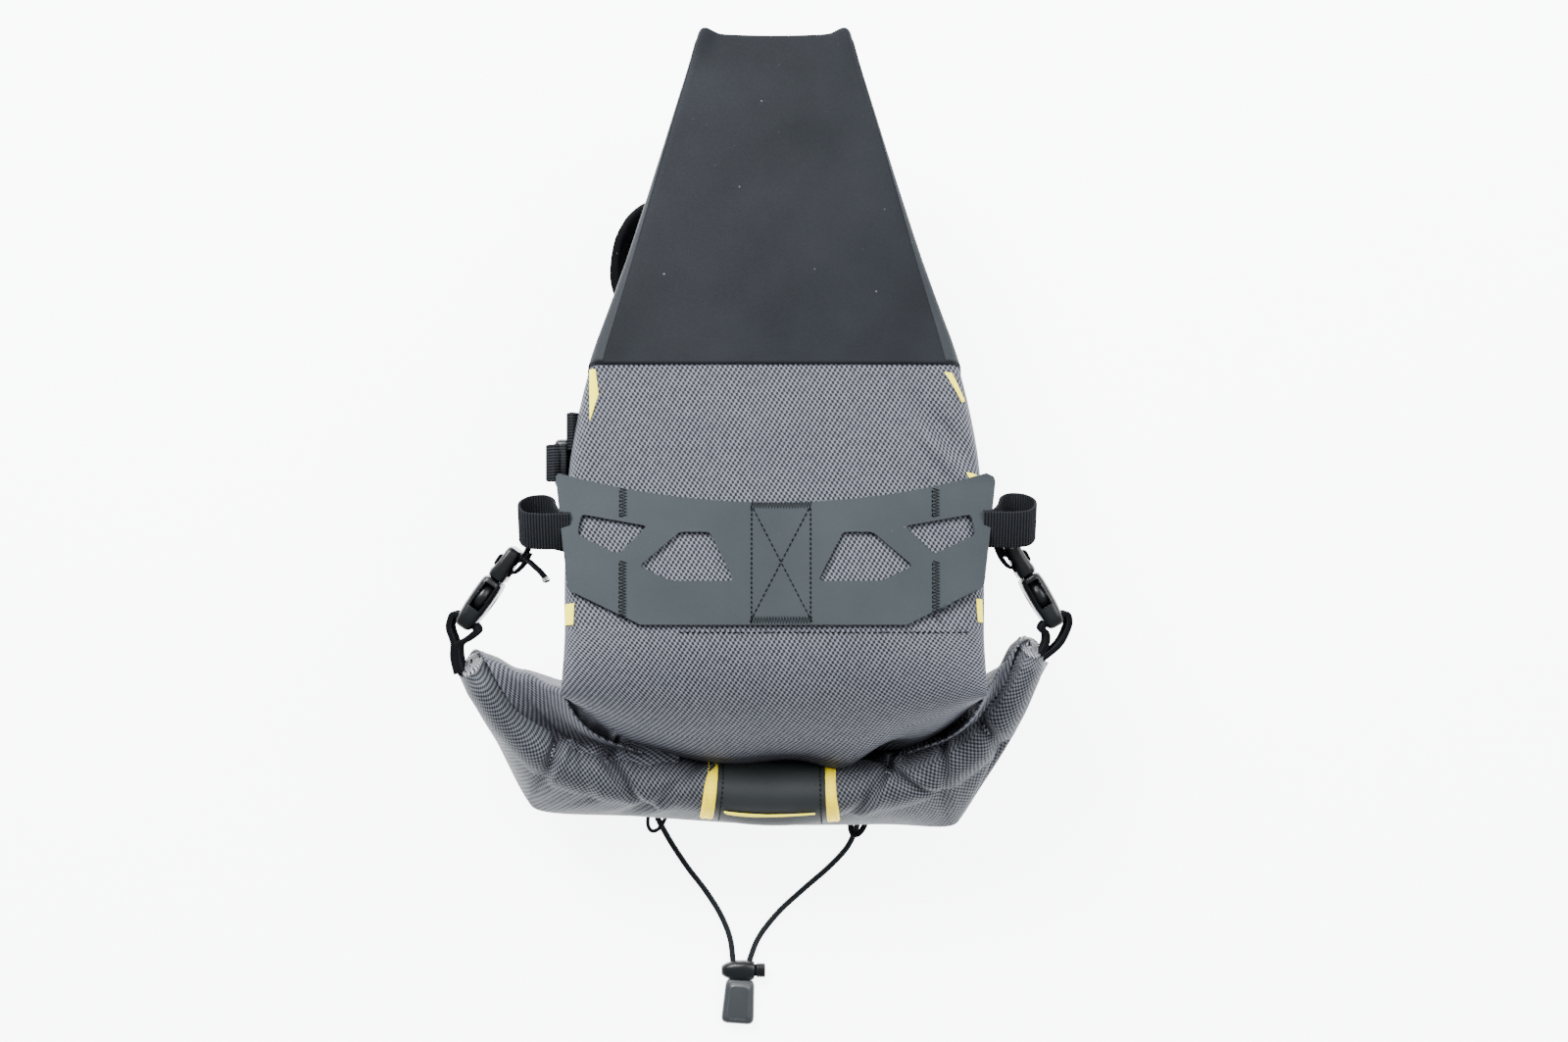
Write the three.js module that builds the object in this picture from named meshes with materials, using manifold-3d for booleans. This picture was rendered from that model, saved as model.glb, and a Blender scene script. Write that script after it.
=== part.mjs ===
// Roll-top saddle bag, resting on its top panel with its underside up.
// Millimetres, +Z up. +Y points to the nose that meets the seatpost, and left is -X.
import * as THREE from 'three';
import { mergeVertices } from 'three/addons/utils/BufferGeometryUtils.js';
import Module from 'manifold-3d';

const wasm = await Module();
wasm.setup();
const { lerp, clamp, degToRad } = THREE.MathUtils;

// ---- driving dimensions ----
const GAP = 0.3;
// The roll sits off the shell's own middle, so the shell's middle plane lies this far from the origin.
const AXIS_X = 8.3;

// Shell: the underside runs from the nose back to the rear edge, the top panel is shorter.
const NOSE_Y = 212;
const REAR_Y = -133.5;
const TOP_FRONT_Y = 78.5;
const TOP_REAR_Y = -138;
const NOSE_Z = 120;
const REAR_Z = 149;
const TOP_Z = 4.4;
const NOSE_HALF_WIDTH = 39.5;
const REAR_HALF_WIDTH = 109;
const TAPER = 0.302;
const TAPER_BLEND = 22;
const TOP_FRONT_HALF_WIDTH = 50;
const TOP_REAR_HALF_WIDTH = 99;
const CROWN = 3;
const SIDE_BULGE = 7;
const REAR_BULGE = 36;
const PANEL = 2.4;
const REINFORCED_TO = 0.505;

// Rolled closure.
const ROLL_HALF_THICK = 14.5;
const ROLL_HALF_TALL = 23;
const WRAP_THICK = 2;

// Perforated wing across the underside.
const WING_HALF_SPAN = 113.5;
const WING_THICK = 2;
const WING_DROOP = 1.2;
const WING_CENTRE_X = 2.5;
const TAIL_LOOP_TILT = 22;

// Webbing and the side-release buckles that close it.
const WEBBING = 20;
const WEBBING_THICK = 1.6;
const HOUSING_LENGTH = 30;
const BUCKLE_WIDTH = 25;
const BUCKLE_THICK = 10;
const BUCKLE_LENGTH = 50;
const PLUG_START = 31;
const PLUG_THICK = 8;
const PRONG_TIP = 12;
const PRONG_HINGE = 30.7;
const WINDOW_END = 28;
const CAVITY_HALF_WIDTH = 10.2;
const BARB = 0.5;

// Hook-and-loop strap and grip pad on the nose panel.
const STRAP_WIDTH = 58;
const STRAP_THICK = 5;
const STRAP_HALF_BASE = 44;
const STRAP_LEFT_FLAP = 40;
const STRAP_RIGHT_FLAP = 22;
const STRAP_FOOT = 6;

// Shock cord and what is on it.
const CORD = 3.4;
const CORD_Z = CORD / 2 + 0.4;
const CORD_SIDES = 8;
const LOCK = [19, 11, 9];
const LOCK_POSITION = [-21.5, -301.5];
const BUTTON_TRAVEL = 3.5;

const COLOURS = {
  weave: [0x777a83, 0.75, 0],
  coated: [0x3f4449, 0.8, 0],
  wing: [0x555c60, 0.75, 0],
  lining: [0x6f7572, 0.7, 0],
  webbing: [0x1d1e21, 0.85, 0],
  plastic: [0x222629, 0.45, 0],
  grey_plastic: [0x5c6266, 0.5, 0],
  yellow: [0xf2cf2a, 0.6, 0],
  sheet: [0xd8d8d2, 0.5, 0],
  steel: [0xb5b8bb, 0.3, 1],
};

const bag = new THREE.Group();

// ---- helpers ----
const point = (x, y, z) => new THREE.Vector3(x, y, z);

function addPiece(name, geometry, look, parent = bag) {
  const [color, roughness, metalness] = COLOURS[look];
  const mesh = new THREE.Mesh(geometry, new THREE.MeshStandardMaterial({ color, roughness, metalness }));
  mesh.name = name;
  parent.add(mesh);
  return mesh;
}

// A sheet whose outer skin follows pointAt(u, v) and whose thickness lies behind it.
function bentSheet(pointAt, thickness, columns, rows) {
  const geometry = new THREE.BoxGeometry(1, 1, 1, columns, rows, 1);
  const position = geometry.attributes.position;
  const step = 1e-3;
  for (let i = 0; i < position.count; i += 1) {
    const u = position.getX(i) + 0.5;
    const v = position.getY(i) + 0.5;
    const along = pointAt(u + step, v).sub(pointAt(u - step, v));
    const across = pointAt(u, v + step).sub(pointAt(u, v - step));
    const normal = along.cross(across).normalize();
    const place = pointAt(u, v).addScaledVector(normal, (position.getZ(i) - 0.5) * thickness);
    position.setXYZ(i, place.x, place.y, place.z);
  }
  return geometry;
}

// A rod along a path whose section is an ellipse that keeps one axis upright.
function sweptRod(path, halfThick, halfTall, sides, steps) {
  const geometry = new THREE.CylinderGeometry(1, 1, 1, sides, steps);
  const position = geometry.attributes.position;
  for (let i = 0; i < position.count; i += 1) {
    const t = position.getY(i) + 0.5;
    const tangent = path.getTangent(t);
    const across = tangent.clone().cross(point(0, 0, 1)).normalize();
    const upright = across.clone().cross(tangent);
    const place = path.getPoint(t);
    place.addScaledVector(across, position.getX(i) * halfThick);
    place.addScaledVector(upright, position.getZ(i) * halfTall);
    position.setXYZ(i, place.x, place.y, place.z);
  }
  return geometry;
}

function toSolid(geometry) {
  const bare = new THREE.BufferGeometry();
  bare.setAttribute('position', geometry.attributes.position.clone());
  bare.setIndex(geometry.index);
  const merged = mergeVertices(bare, 1e-3);
  const vertProperties = new Float32Array(merged.attributes.position.array);
  const triVerts = new Uint32Array(merged.index.array);
  return new wasm.Manifold(new wasm.Mesh({ numProp: 3, vertProperties, triVerts }));
}

function toGeometry(solid) {
  const mesh = solid.getMesh();
  const geometry = new THREE.BufferGeometry();
  geometry.setAttribute('position', new THREE.BufferAttribute(mesh.vertProperties, 3));
  geometry.setIndex(new THREE.BufferAttribute(mesh.triVerts, 1));
  return geometry;
}

function cutAway(geometry, tools) {
  return toGeometry(tools.reduce((solid, tool) => solid.subtract(toSolid(tool)), toSolid(geometry)));
}

function joined(pieces) {
  return toGeometry(pieces.map(toSolid).reduce((solid, piece) => solid.add(piece)));
}

// A box given by its lowest and highest corners.
function boxBetween([x0, y0, z0], [x1, y1, z1]) {
  const geometry = new THREE.BoxGeometry(x1 - x0, y1 - y0, z1 - z0);
  return geometry.translate((x0 + x1) / 2, (y0 + y1) / 2, (z0 + z1) / 2);
}

// A plate with rounded corners between x0 and x1, centred on y and z.
function roundedPlate(x0, x1, width, thickness, radius) {
  const half = width / 2;
  const shape = new THREE.Shape();
  shape.moveTo(x0 + radius, -half);
  shape.lineTo(x1 - radius, -half);
  shape.absarc(x1 - radius, -half + radius, radius, -Math.PI / 2, 0);
  shape.absarc(x1 - radius, half - radius, radius, 0, Math.PI / 2);
  shape.absarc(x0 + radius, half - radius, radius, Math.PI / 2, Math.PI);
  shape.absarc(x0 + radius, -half + radius, radius, Math.PI, 1.5 * Math.PI);
  const geometry = new THREE.ExtrudeGeometry(shape, { depth: thickness, bevelEnabled: false, curveSegments: 3 });
  return geometry.translate(0, 0, -thickness / 2);
}

// A strip of webbing that follows points in its own XZ plane, its width along Y.
function webbingAlong(points, steps, width = WEBBING, thickness = WEBBING_THICK) {
  const path = new THREE.CatmullRomCurve3(points.map(([x, z]) => point(x, 0, z)));
  const pointAt = (u, v) => {
    const t = clamp(u, 0, 1);
    const place = path.getPoint(t).addScaledVector(path.getTangent(t), (u - t) * path.getLength());
    return place.setY(lerp(-width / 2, width / 2, v));
  };
  return bentSheet(pointAt, thickness, steps, 1);
}

function cordTube(points, steps, diameter = CORD) {
  const path = new THREE.CatmullRomCurve3(points.map((place) => point(...place)));
  const section = new THREE.Shape();
  section.absarc(0, 0, diameter / 2, 0, 2 * Math.PI);
  return new THREE.ExtrudeGeometry(section, {
    steps, extrudePath: path, bevelEnabled: false, curveSegments: CORD_SIDES / 2,
  });
}

// ---- shell ----
// s runs from the nose (0) to the rear (1), b from the top panel (0) to the underside (1).
function undersideHalfWidth(s) {
  const tapered = NOSE_HALF_WIDTH + TAPER * s * (NOSE_Y - REAR_Y);
  const share = clamp(0.5 + (0.5 * (REAR_HALF_WIDTH - tapered)) / TAPER_BLEND, 0, 1);
  return lerp(REAR_HALF_WIDTH, tapered, share) - TAPER_BLEND * share * (1 - share);
}

const undersideY = (s) => lerp(NOSE_Y, REAR_Y, s);
const undersideZ = (s) => lerp(NOSE_Z, REAR_Z, s);
const topY = (s) => lerp(TOP_FRONT_Y, TOP_REAR_Y, s);
const topHalfWidth = (s) => lerp(TOP_FRONT_HALF_WIDTH, TOP_REAR_HALF_WIDTH, s);

function undersidePoint(u, s) {
  const crown = CROWN * (1 - (2 * u - 1) ** 2) * Math.sin(Math.PI * clamp(s, 0, 1));
  const halfWidth = undersideHalfWidth(s);
  return point(lerp(-halfWidth, halfWidth, u), undersideY(s), undersideZ(s) + crown);
}

function topPoint(u, s) {
  return point(lerp(-1, 1, u) * topHalfWidth(s), topY(s), TOP_Z);
}

function sideHalfWidth(s, b) {
  const bulge = SIDE_BULGE * Math.sin(Math.PI * b) * Math.sin(Math.PI * clamp(s, 0, 1));
  return lerp(topHalfWidth(s), undersideHalfWidth(s), b) + bulge;
}

function sidePoint(side, s, b) {
  return point(side * sideHalfWidth(s, b), lerp(topY(s), undersideY(s), b), lerp(TOP_Z, undersideZ(s), b));
}

// The share of the height that a panel's thickness takes at each edge.
const EDGE = (PANEL + GAP) / (NOSE_Z - TOP_Z);
const panelHeight = (v) => lerp(EDGE, 1 - EDGE, v);
const END_INSET = PANEL + 2 * GAP;

function nosePoint(u, v) {
  const b = lerp(EDGE, 1 - 2 * EDGE, v);
  const halfWidth = sideHalfWidth(0, b) - END_INSET;
  return point(lerp(halfWidth, -halfWidth, u), lerp(topY(0), undersideY(0), b), lerp(TOP_Z, undersideZ(0), b));
}

function rearPoint(u, v) {
  const b = panelHeight(v);
  const halfWidth = sideHalfWidth(1, b) - END_INSET;
  const swell = REAR_BULGE * Math.max(0, 1 - (2 * u - 1) ** 2) ** 0.7 * Math.sin(Math.PI * b) ** 1.2;
  const place = point(lerp(-halfWidth, halfWidth, u), lerp(topY(1), undersideY(1), b), lerp(TOP_Z, undersideZ(1), b));
  return place.add(point(0, -swell, 0));
}

function makeShell() {
  const seam = GAP / (NOSE_Y - REAR_Y);
  const front = (u, v) => undersidePoint(u, lerp(REINFORCED_TO - seam, 0, v));
  const rear = (u, v) => undersidePoint(u, lerp(1, REINFORCED_TO, v));
  addPiece('underside_reinforcement', bentSheet(front, PANEL, 6, 8), 'coated');
  addPiece('underside_panel', bentSheet(rear, PANEL, 6, 8), 'weave');
  addPiece('top_panel', bentSheet((u, v) => topPoint(1 - u, 1 - v), PANEL, 2, 4), 'weave');
  addPiece('side_panel_left', bentSheet((u, v) => sidePoint(-1, u, panelHeight(v)), PANEL, 10, 6), 'weave');
  addPiece('side_panel_right', bentSheet((u, v) => sidePoint(1, 1 - u, panelHeight(v)), PANEL, 10, 6), 'weave');
  addPiece('nose_panel', bentSheet(nosePoint, PANEL, 1, 1), 'coated');
  addPiece('rear_panel', bentSheet(rearPoint, PANEL, 10, 8), 'weave');
}

// Stiff sheets that give the soft shell its shape, just inside the skin.
function makeStiffeners() {
  const depth = PANEL + GAP;
  const inner = (u, v) => {
    const place = undersidePoint(lerp(0.08, 0.92, u), lerp(0.94, 0.08, v));
    return place.add(point(0, 0, -depth - GAP));
  };
  addPiece('underside_stiffener', bentSheet(inner, 1.5, 4, 8), 'sheet');
}

// ---- rolled closure ----
const ROLL_PATH = new THREE.CatmullRomCurve3([
  point(-157, -117.5, 98), point(-137, -149, 88), point(-113, -173, 78), point(-68, -184.5, 72),
  point(0, -191, 68), point(64, -186, 71), point(104, -165, 80), point(128, -132, 92), point(136, -111, 98),
]);
const WRAP_EDGE = new THREE.CatmullRomCurve3([
  point(-175, -123, 66), point(-156, -159, 61), point(-137, -195, 56.5), point(-131, -201, 56), point(-75, -207, 53),
  point(0, -212, 50), point(62, -211, 52), point(98, -209.5, 55), point(104, -205, 56), point(128, -163, 61),
  point(150, -121, 66),
]);

function makeRoll() {
  const roll = sweptRod(ROLL_PATH, ROLL_HALF_THICK, ROLL_HALF_TALL, 14, 28);
  const slot = sweptRod(stretched(ROLL_PATH), 2, 11, 8, 28);
  addPiece('closure_roll', cutAway(roll, [slot]), 'weave');
  addPiece('closure_stiffener', sweptRod(ROLL_PATH, 1.4, 10, 8, 28), 'sheet');
  const wrap = (u, v) => {
    const foot = point(lerp(-TOP_REAR_HALF_WIDTH, TOP_REAR_HALF_WIDTH, u), TOP_REAR_Y - 2 * WRAP_THICK, TOP_Z);
    const edge = WRAP_EDGE.getPoint(clamp(u, 0, 1));
    const belly = Math.sin(Math.PI * v) * 8;
    return foot.lerp(edge, v).add(point(0, -belly * 0.4, -belly * 0.5));
  };
  addPiece('closure_wrap', bentSheet(wrap, WRAP_THICK, 20, 6), 'lining');
}

// The same path run a little past both of its ends.
function stretched(path) {
  const reach = 4;
  const points = path.points.map((place) => place.clone());
  points[0].addScaledVector(path.getTangent(0), -reach);
  points[points.length - 1].addScaledVector(path.getTangent(1), reach);
  return new THREE.CatmullRomCurve3(points);
}

// A collar of sheet round the roll between two shares of its length.
function rollCollar(from, to, clearance, thickness, arc) {
  const pointAt = (u, v) => {
    const t = lerp(from, to, v);
    const tangent = ROLL_PATH.getTangent(t);
    const across = tangent.clone().cross(point(0, 0, 1)).normalize();
    const upright = across.clone().cross(tangent);
    const angle = lerp(-arc, arc, u);
    const reach = clearance + thickness;
    const place = ROLL_PATH.getPoint(t);
    place.addScaledVector(across, Math.sin(angle) * (ROLL_HALF_THICK + reach));
    return place.addScaledVector(upright, Math.cos(angle) * (ROLL_HALF_TALL + reach));
  };
  return bentSheet(pointAt, thickness, 12, 2);
}

function makeRollTrim() {
  const arc = degToRad(100);
  const clearance = 0.8;
  addPiece('grip_patch', rollCollar(0.4415, 0.5525, clearance, 1.6, arc), 'coated');
  addPiece('grip_edge_left', rollCollar(0.4290, 0.4395, clearance, 1.2, arc), 'yellow');
  addPiece('grip_edge_right', rollCollar(0.5545, 0.5650, clearance, 1.2, arc), 'yellow');
}

// ---- wing ----
const WING_OUTER_WINDOW = [[100, -40], [66, -46], [81, -60.5], [102, -50.5]];
const WING_INNER_WINDOW = [[34, -49], [49.5, -49], [70, -66.5], [54, -74], [21.5, -74]];

function wingPoint(u, v) {
  const share = 2 * u - 1;
  const upperY = -34 + 15 * share ** 2;
  const lowerY = -96.5 + 17 * clamp((Math.abs(share) - 0.66) / 0.34, 0, 1.2);
  const halfSpan = lerp(WING_HALF_SPAN - 7, WING_HALF_SPAN, v);
  const y = lerp(lowerY, upperY, v);
  const s = (NOSE_Y - y) / (NOSE_Y - REAR_Y);
  const droop = WING_DROOP * clamp((Math.abs(share) - 0.8) / 0.2, 0, 1.2) ** 1.5;
  const z = undersidePoint(0.5, s).z + WING_THICK + 2 * GAP - droop;
  return point(share * halfSpan + 0.8, y, z);
}

function windowTool(outline, side) {
  const points = outline.map(([x, y]) => new THREE.Vector2(WING_CENTRE_X * 0.4 + side * x, y));
  const geometry = new THREE.ExtrudeGeometry(new THREE.Shape(points), { depth: 60, bevelEnabled: false });
  return geometry.translate(0, 0, 120);
}

function makeWing() {
  const tools = [];
  for (const side of [-1, 1]) {
    tools.push(windowTool(WING_OUTER_WINDOW, side), windowTool(WING_INNER_WINDOW, side));
  }
  addPiece('wing', cutAway(bentSheet(wingPoint, WING_THICK, 30, 3), tools), 'wing');
}

function makeTailLoop(name, x, y) {
  const ring = new THREE.Shape();
  ring.absellipse(0, 0, 9.6, 14, 0, 2 * Math.PI, false, 0);
  const hole = new THREE.Path();
  hole.absellipse(0, 0, 9.6 - WEBBING_THICK, 14 - WEBBING_THICK, 0, 2 * Math.PI, true, 0);
  ring.holes.push(hole);
  const geometry = new THREE.ExtrudeGeometry(ring, { depth: WEBBING, bevelEnabled: false, curveSegments: 9 });
  geometry.translate(0, 0, -WEBBING / 2);
  const mesh = addPiece(name, geometry, 'webbing');
  mesh.position.set(x, y, 130);
  mesh.rotation.x = degToRad(TAIL_LOOP_TILT - 90);
}

// ---- buckles ----
// A buckle's own X runs from the housing's bar to the plug's end, Y across, Z through it.
function housingGeometry() {
  const shell = roundedPlate(0, HOUSING_LENGTH, BUCKLE_WIDTH, BUCKLE_THICK, 4);
  const cavity = boxBetween([8, -CAVITY_HALF_WIDTH, -3.2], [HOUSING_LENGTH + 1, CAVITY_HALF_WIDTH, 3.2]);
  const barSlot = boxBetween([2.6, -10.4, -BUCKLE_THICK], [6.2, 10.4, BUCKLE_THICK]);
  const sideWindows = boxBetween([11, -BUCKLE_WIDTH, -3.2], [WINDOW_END, BUCKLE_WIDTH, 3.2]);
  return cutAway(shell, [cavity, barSlot, sideWindows]);
}

function plugGeometry() {
  const base = roundedPlate(PLUG_START, BUCKLE_LENGTH, BUCKLE_WIDTH - 1, PLUG_THICK, 4);
  const tongue = boxBetween([14, -1.8, -2], [PLUG_START + 2, 1.8, 2]);
  const slots = [35.4, 42.4].map((x) => boxBetween([x, -10.4, -PLUG_THICK], [x + 3.6, 10.4, PLUG_THICK]));
  return cutAway(joined([base, tongue]), slots);
}

// One sprung prong: a straight arm with a barb that stands a little past the cavity's wall.
function prongGeometry(side) {
  const barb = CAVITY_HALF_WIDTH + BARB;
  const outline = [
    [PRONG_HINGE, 4.4], [PRONG_HINGE, 7.4], [21.5, 8.2], [18.5, barb], [15.5, barb], [PRONG_TIP, 8.4], [PRONG_TIP, 5.6],
  ];
  const points = outline.map(([x, y]) => new THREE.Vector2(x, side * y));
  const geometry = new THREE.ExtrudeGeometry(new THREE.Shape(points), { depth: 5, bevelEnabled: false });
  return geometry.translate(0, 0, -2.5);
}

// The tab that holds the housing: a loop of webbing round its bar, both ends running away from it.
function tabGeometry(reach, spread) {
  return webbingAlong([
    [-reach, -spread], [-6, -4.4], [-1, -7], [2.6, -7.6], [3.9, -5], [4.3, 0], [3.9, 5], [2.6, 7.6], [-1, 7], [-6, 4.4], [-reach, spread],
  ], 32);
}

function makeBuckle(prefix, place, tab, strapPoints) {
  const buckle = new THREE.Group();
  buckle.matrixAutoUpdate = false;
  buckle.matrix.makeBasis(place.along, place.across, place.along.clone().cross(place.across));
  buckle.matrix.setPosition(place.origin);
  bag.add(buckle);
  addPiece(`${prefix}_buckle_housing`, housingGeometry(), 'plastic', buckle);
  addPiece(`${prefix}_buckle_plug`, plugGeometry(), 'plastic', buckle);
  addPiece(`${prefix}_prong_a`, prongGeometry(1), 'plastic', buckle);
  addPiece(`${prefix}_prong_b`, prongGeometry(-1), 'plastic', buckle);
  addPiece(`${prefix}_tab`, tabGeometry(tab.reach, tab.spread), 'webbing', buckle);
  addPiece(`${prefix}_strap`, webbingAlong(strapPoints, 24), 'webbing', buckle);
}

function makeBuckles() {
  const closureLeft = { origin: point(-166, -99.5, 97), along: point(27.9, 39.6, 0).normalize(), across: point(0, 0, 1) };
  const closureRight = { origin: point(150, -99, 97), along: point(-24, 41.5, 0).normalize(), across: point(0, 0, 1) };
  const closureTab = { reach: 11, spread: 2.2 };
  makeBuckle('left_closure', closureLeft, closureTab, [
    [63, 26], [60, 15], [55.5, 6], [50, 6.6], [45, 6.2], [44.2, 2], [44.2, -5.5],
  ]);
  makeBuckle('right_closure', closureRight, closureTab, [
    [62, -14.5], [59, -9], [55.5, -6], [50, -6.6], [45, -6.2], [44.2, -2], [44.2, 5.5],
  ]);
  const railTab = { reach: 15, spread: 1.6 };
  const railStrap = [[92, -7], [80, -6], [66, -5], [56, -5], [50, -6.4], [45, -6.2], [44.2, -2], [44.2, 5.5]];
  const railLeft = { origin: point(-111.5, -13, 112), along: point(0, 0, -1), across: point(0, -1, 0) };
  const railRight = { origin: point(89.5, 18, 35), along: point(12.6, -50, 0).normalize(), across: point(0, 0, 1) };
  makeBuckle('left_rail', railLeft, railTab, railStrap);
  makeBuckle('right_rail', railRight, railTab, railStrap.map(([x, z]) => [x, -z]));
}

// ---- hook-and-loop seatpost strap ----
function makeSeatpostStrap() {
  const nose = new THREE.Group();
  nose.position.set(0, TOP_FRONT_Y, TOP_Z);
  nose.rotation.x = Math.atan2(NOSE_Z - TOP_Z, NOSE_Y - TOP_FRONT_Y);
  bag.add(nose);
  const yLow = STRAP_FOOT;
  const yHigh = STRAP_FOOT + STRAP_WIDTH;
  const outer = -GAP - STRAP_THICK;
  const half = STRAP_HALF_BASE;
  addPiece('seatpost_strap_base', boxBetween([-half, yLow, outer], [half, yHigh, -GAP]), 'webbing', nose);
  const left = boxBetween([-half - GAP - STRAP_LEFT_FLAP, yLow, outer], [-half - GAP, yHigh, -GAP]);
  const right = boxBetween([half + GAP, yLow, outer], [half + GAP + STRAP_RIGHT_FLAP, yHigh, -GAP]);
  addPiece('seatpost_strap_hook_flap', left, 'webbing', nose);
  addPiece('seatpost_strap_loop_flap', right, 'webbing', nose);
  const pad = roundedPlate(yHigh + 8, 168, 52, 3, 8).rotateZ(Math.PI / 2).translate(0, 0, -1.5 - GAP);
  addPiece('seatpost_grip_pad', pad, 'coated', nose);
}

// ---- shock cord lacing under the top panel ----
const LACE_X = 44;
const LACE_STRIP = 18;
const LACE_Z = 2.2;

function makeLacing() {
  for (const [name, side] of [['lacing_strip_left', -1], ['lacing_strip_right', 1]]) {
    const x = side * (LACE_X + LACE_STRIP / 2);
    const strip = roundedPlate(TOP_REAR_Y + 4, TOP_FRONT_Y - 22, LACE_STRIP, TOP_Z - GAP, 4);
    addPiece(name, strip.rotateZ(Math.PI / 2).translate(x, 0, (TOP_Z - GAP) / 2), 'webbing');
  }
  const turn = LACE_X - CORD;
  const points = [];
  for (let i = 0; i <= 6; i += 1) {
    points.push([(i % 2 ? -1 : 1) * turn, lerp(TOP_FRONT_Y - 30, TOP_REAR_Y + 12, i / 6), LACE_Z]);
  }
  addPiece('laced_cord', cordTube(points, 60), 'webbing');
}

// ---- free cord strands, lock and cord end ----
const LEFT_STRAND = [
  [-67.5, -213.5, 9], [-64, -221, 5], [-58.5, -231, CORD_Z], [-50, -243.5, CORD_Z], [-40, -256.5, CORD_Z],
  [-31, -271, CORD_Z], [-26, -284, CORD_Z], [-24.2, -295.4, CORD_Z],
];
const RIGHT_STRAND = [
  [48, -213.5, 9], [46, -221, 5], [41.5, -231, CORD_Z], [31, -242.5, CORD_Z], [16, -255.5, CORD_Z],
  [1, -269.5, CORD_Z], [-10, -284, CORD_Z], [-15.2, -295.4, CORD_Z],
];

const CORD_LOOP_Y = -207;

function cordLoopGeometry() {
  const ring = new THREE.Shape();
  ring.absellipse(0, 0, 8, 6, 0, 2 * Math.PI, false, 0);
  const hole = new THREE.Path();
  hole.absellipse(0, 0, 6.2, 4.2, 0, 2 * Math.PI, true, 0);
  ring.holes.push(hole);
  const geometry = new THREE.ExtrudeGeometry(ring, { depth: 6, bevelEnabled: false, curveSegments: 6 });
  return geometry.translate(0, 0, -3);
}

function makeCords() {
  for (const [side, x] of [['left', LEFT_STRAND[0][0]], ['right', RIGHT_STRAND[0][0]]]) {
    const loop = addPiece(`cord_loop_${side}`, cordLoopGeometry(), 'webbing');
    loop.rotation.x = degToRad(90);
    loop.position.set(x, CORD_LOOP_Y, 9);
    const tab = boxBetween([x - 5.5, CORD_LOOP_Y + 3 + GAP, 0.6], [x + 5.5, TOP_REAR_Y + 4 - GAP, 2.6]);
    addPiece(`cord_anchor_tab_${side}`, tab, 'webbing');
  }
  addPiece('cord_strand_left', cordTube(LEFT_STRAND, 30), 'webbing');
  addPiece('cord_strand_right', cordTube(RIGHT_STRAND, 32), 'webbing');
}

function makeCordLock() {
  const [length, depth, height] = LOCK;
  const [x, y] = LOCK_POSITION;
  const half = length / 2;
  const lock = new THREE.Group();
  lock.position.set(x, y, height / 2 + GAP);
  bag.add(lock);
  const body = roundedPlate(-half, half, depth, height, 3.5);
  const bore = boxBetween([-half + 2.5, -3.8, -2.8], [half + 1, 3.8, 2.8]);
  addPiece('cord_lock_body', cutAway(body, [bore]), 'plastic', lock);
  const plunger = boxBetween([-half + 2.5 + 7, -3.4, -2.4], [half + BUTTON_TRAVEL + 2, 3.4, 2.4]);
  const head = roundedPlate(half + BUTTON_TRAVEL + 0.5, half + BUTTON_TRAVEL + 2.8, depth, height - 1, 1.1);
  addPiece('cord_lock_button', joined([plunger, head]), 'plastic', lock);
  const coil = [];
  const turns = 4;
  for (let i = 0; i <= turns * 8; i += 1) {
    const angle = (i / 8) * 2 * Math.PI;
    const reach = lerp(-half + 3.2, -half + 8.6, i / (turns * 8));
    coil.push([reach, 1.9 * Math.cos(angle), 1.9 * Math.sin(angle)]);
  }
  addPiece('cord_lock_spring', cordTube(coil, turns * 9, 0.6), 'steel', lock);
}

function makeCordEnd() {
  const outline = [[-9, 0], [9, 0], [10, -21], [7.5, -24], [-7.5, -24], [-10, -21]];
  const points = outline.map(([x, y]) => new THREE.Vector2(x * 0.95, y));
  const lower = new THREE.ExtrudeGeometry(new THREE.Shape(points), { depth: 4, bevelEnabled: false });
  const upper = lower.clone().translate(0, 0, 4 + GAP);
  const holder = new THREE.Group();
  holder.position.set(-20.2, -308.2, GAP);
  holder.rotation.z = degToRad(-4);
  bag.add(holder);
  addPiece('cord_end_lower', lower, 'grey_plastic', holder);
  addPiece('cord_end_upper', upper, 'grey_plastic', holder);
}

bag.position.x = AXIS_X;
makeShell();
makeStiffeners();
makeRoll();
makeRollTrim();
makeWing();
makeTailLoop('tail_loop_left', -122.5, -44);
makeTailLoop('tail_loop_right', 125.5, -43);
makeBuckles();
makeSeatpostStrap();
makeLacing();
makeCords();
makeCordLock();
makeCordEnd();

export default bag;
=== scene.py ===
"""Looks for the saddle bag: fabric, webbing, moulded parts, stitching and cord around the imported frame.

Shapes are worked out in millimetres about the bag's own middle plane and scaled to metres when built.
"""
import math

import bmesh
import bpy
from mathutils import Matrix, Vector, noise


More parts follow.
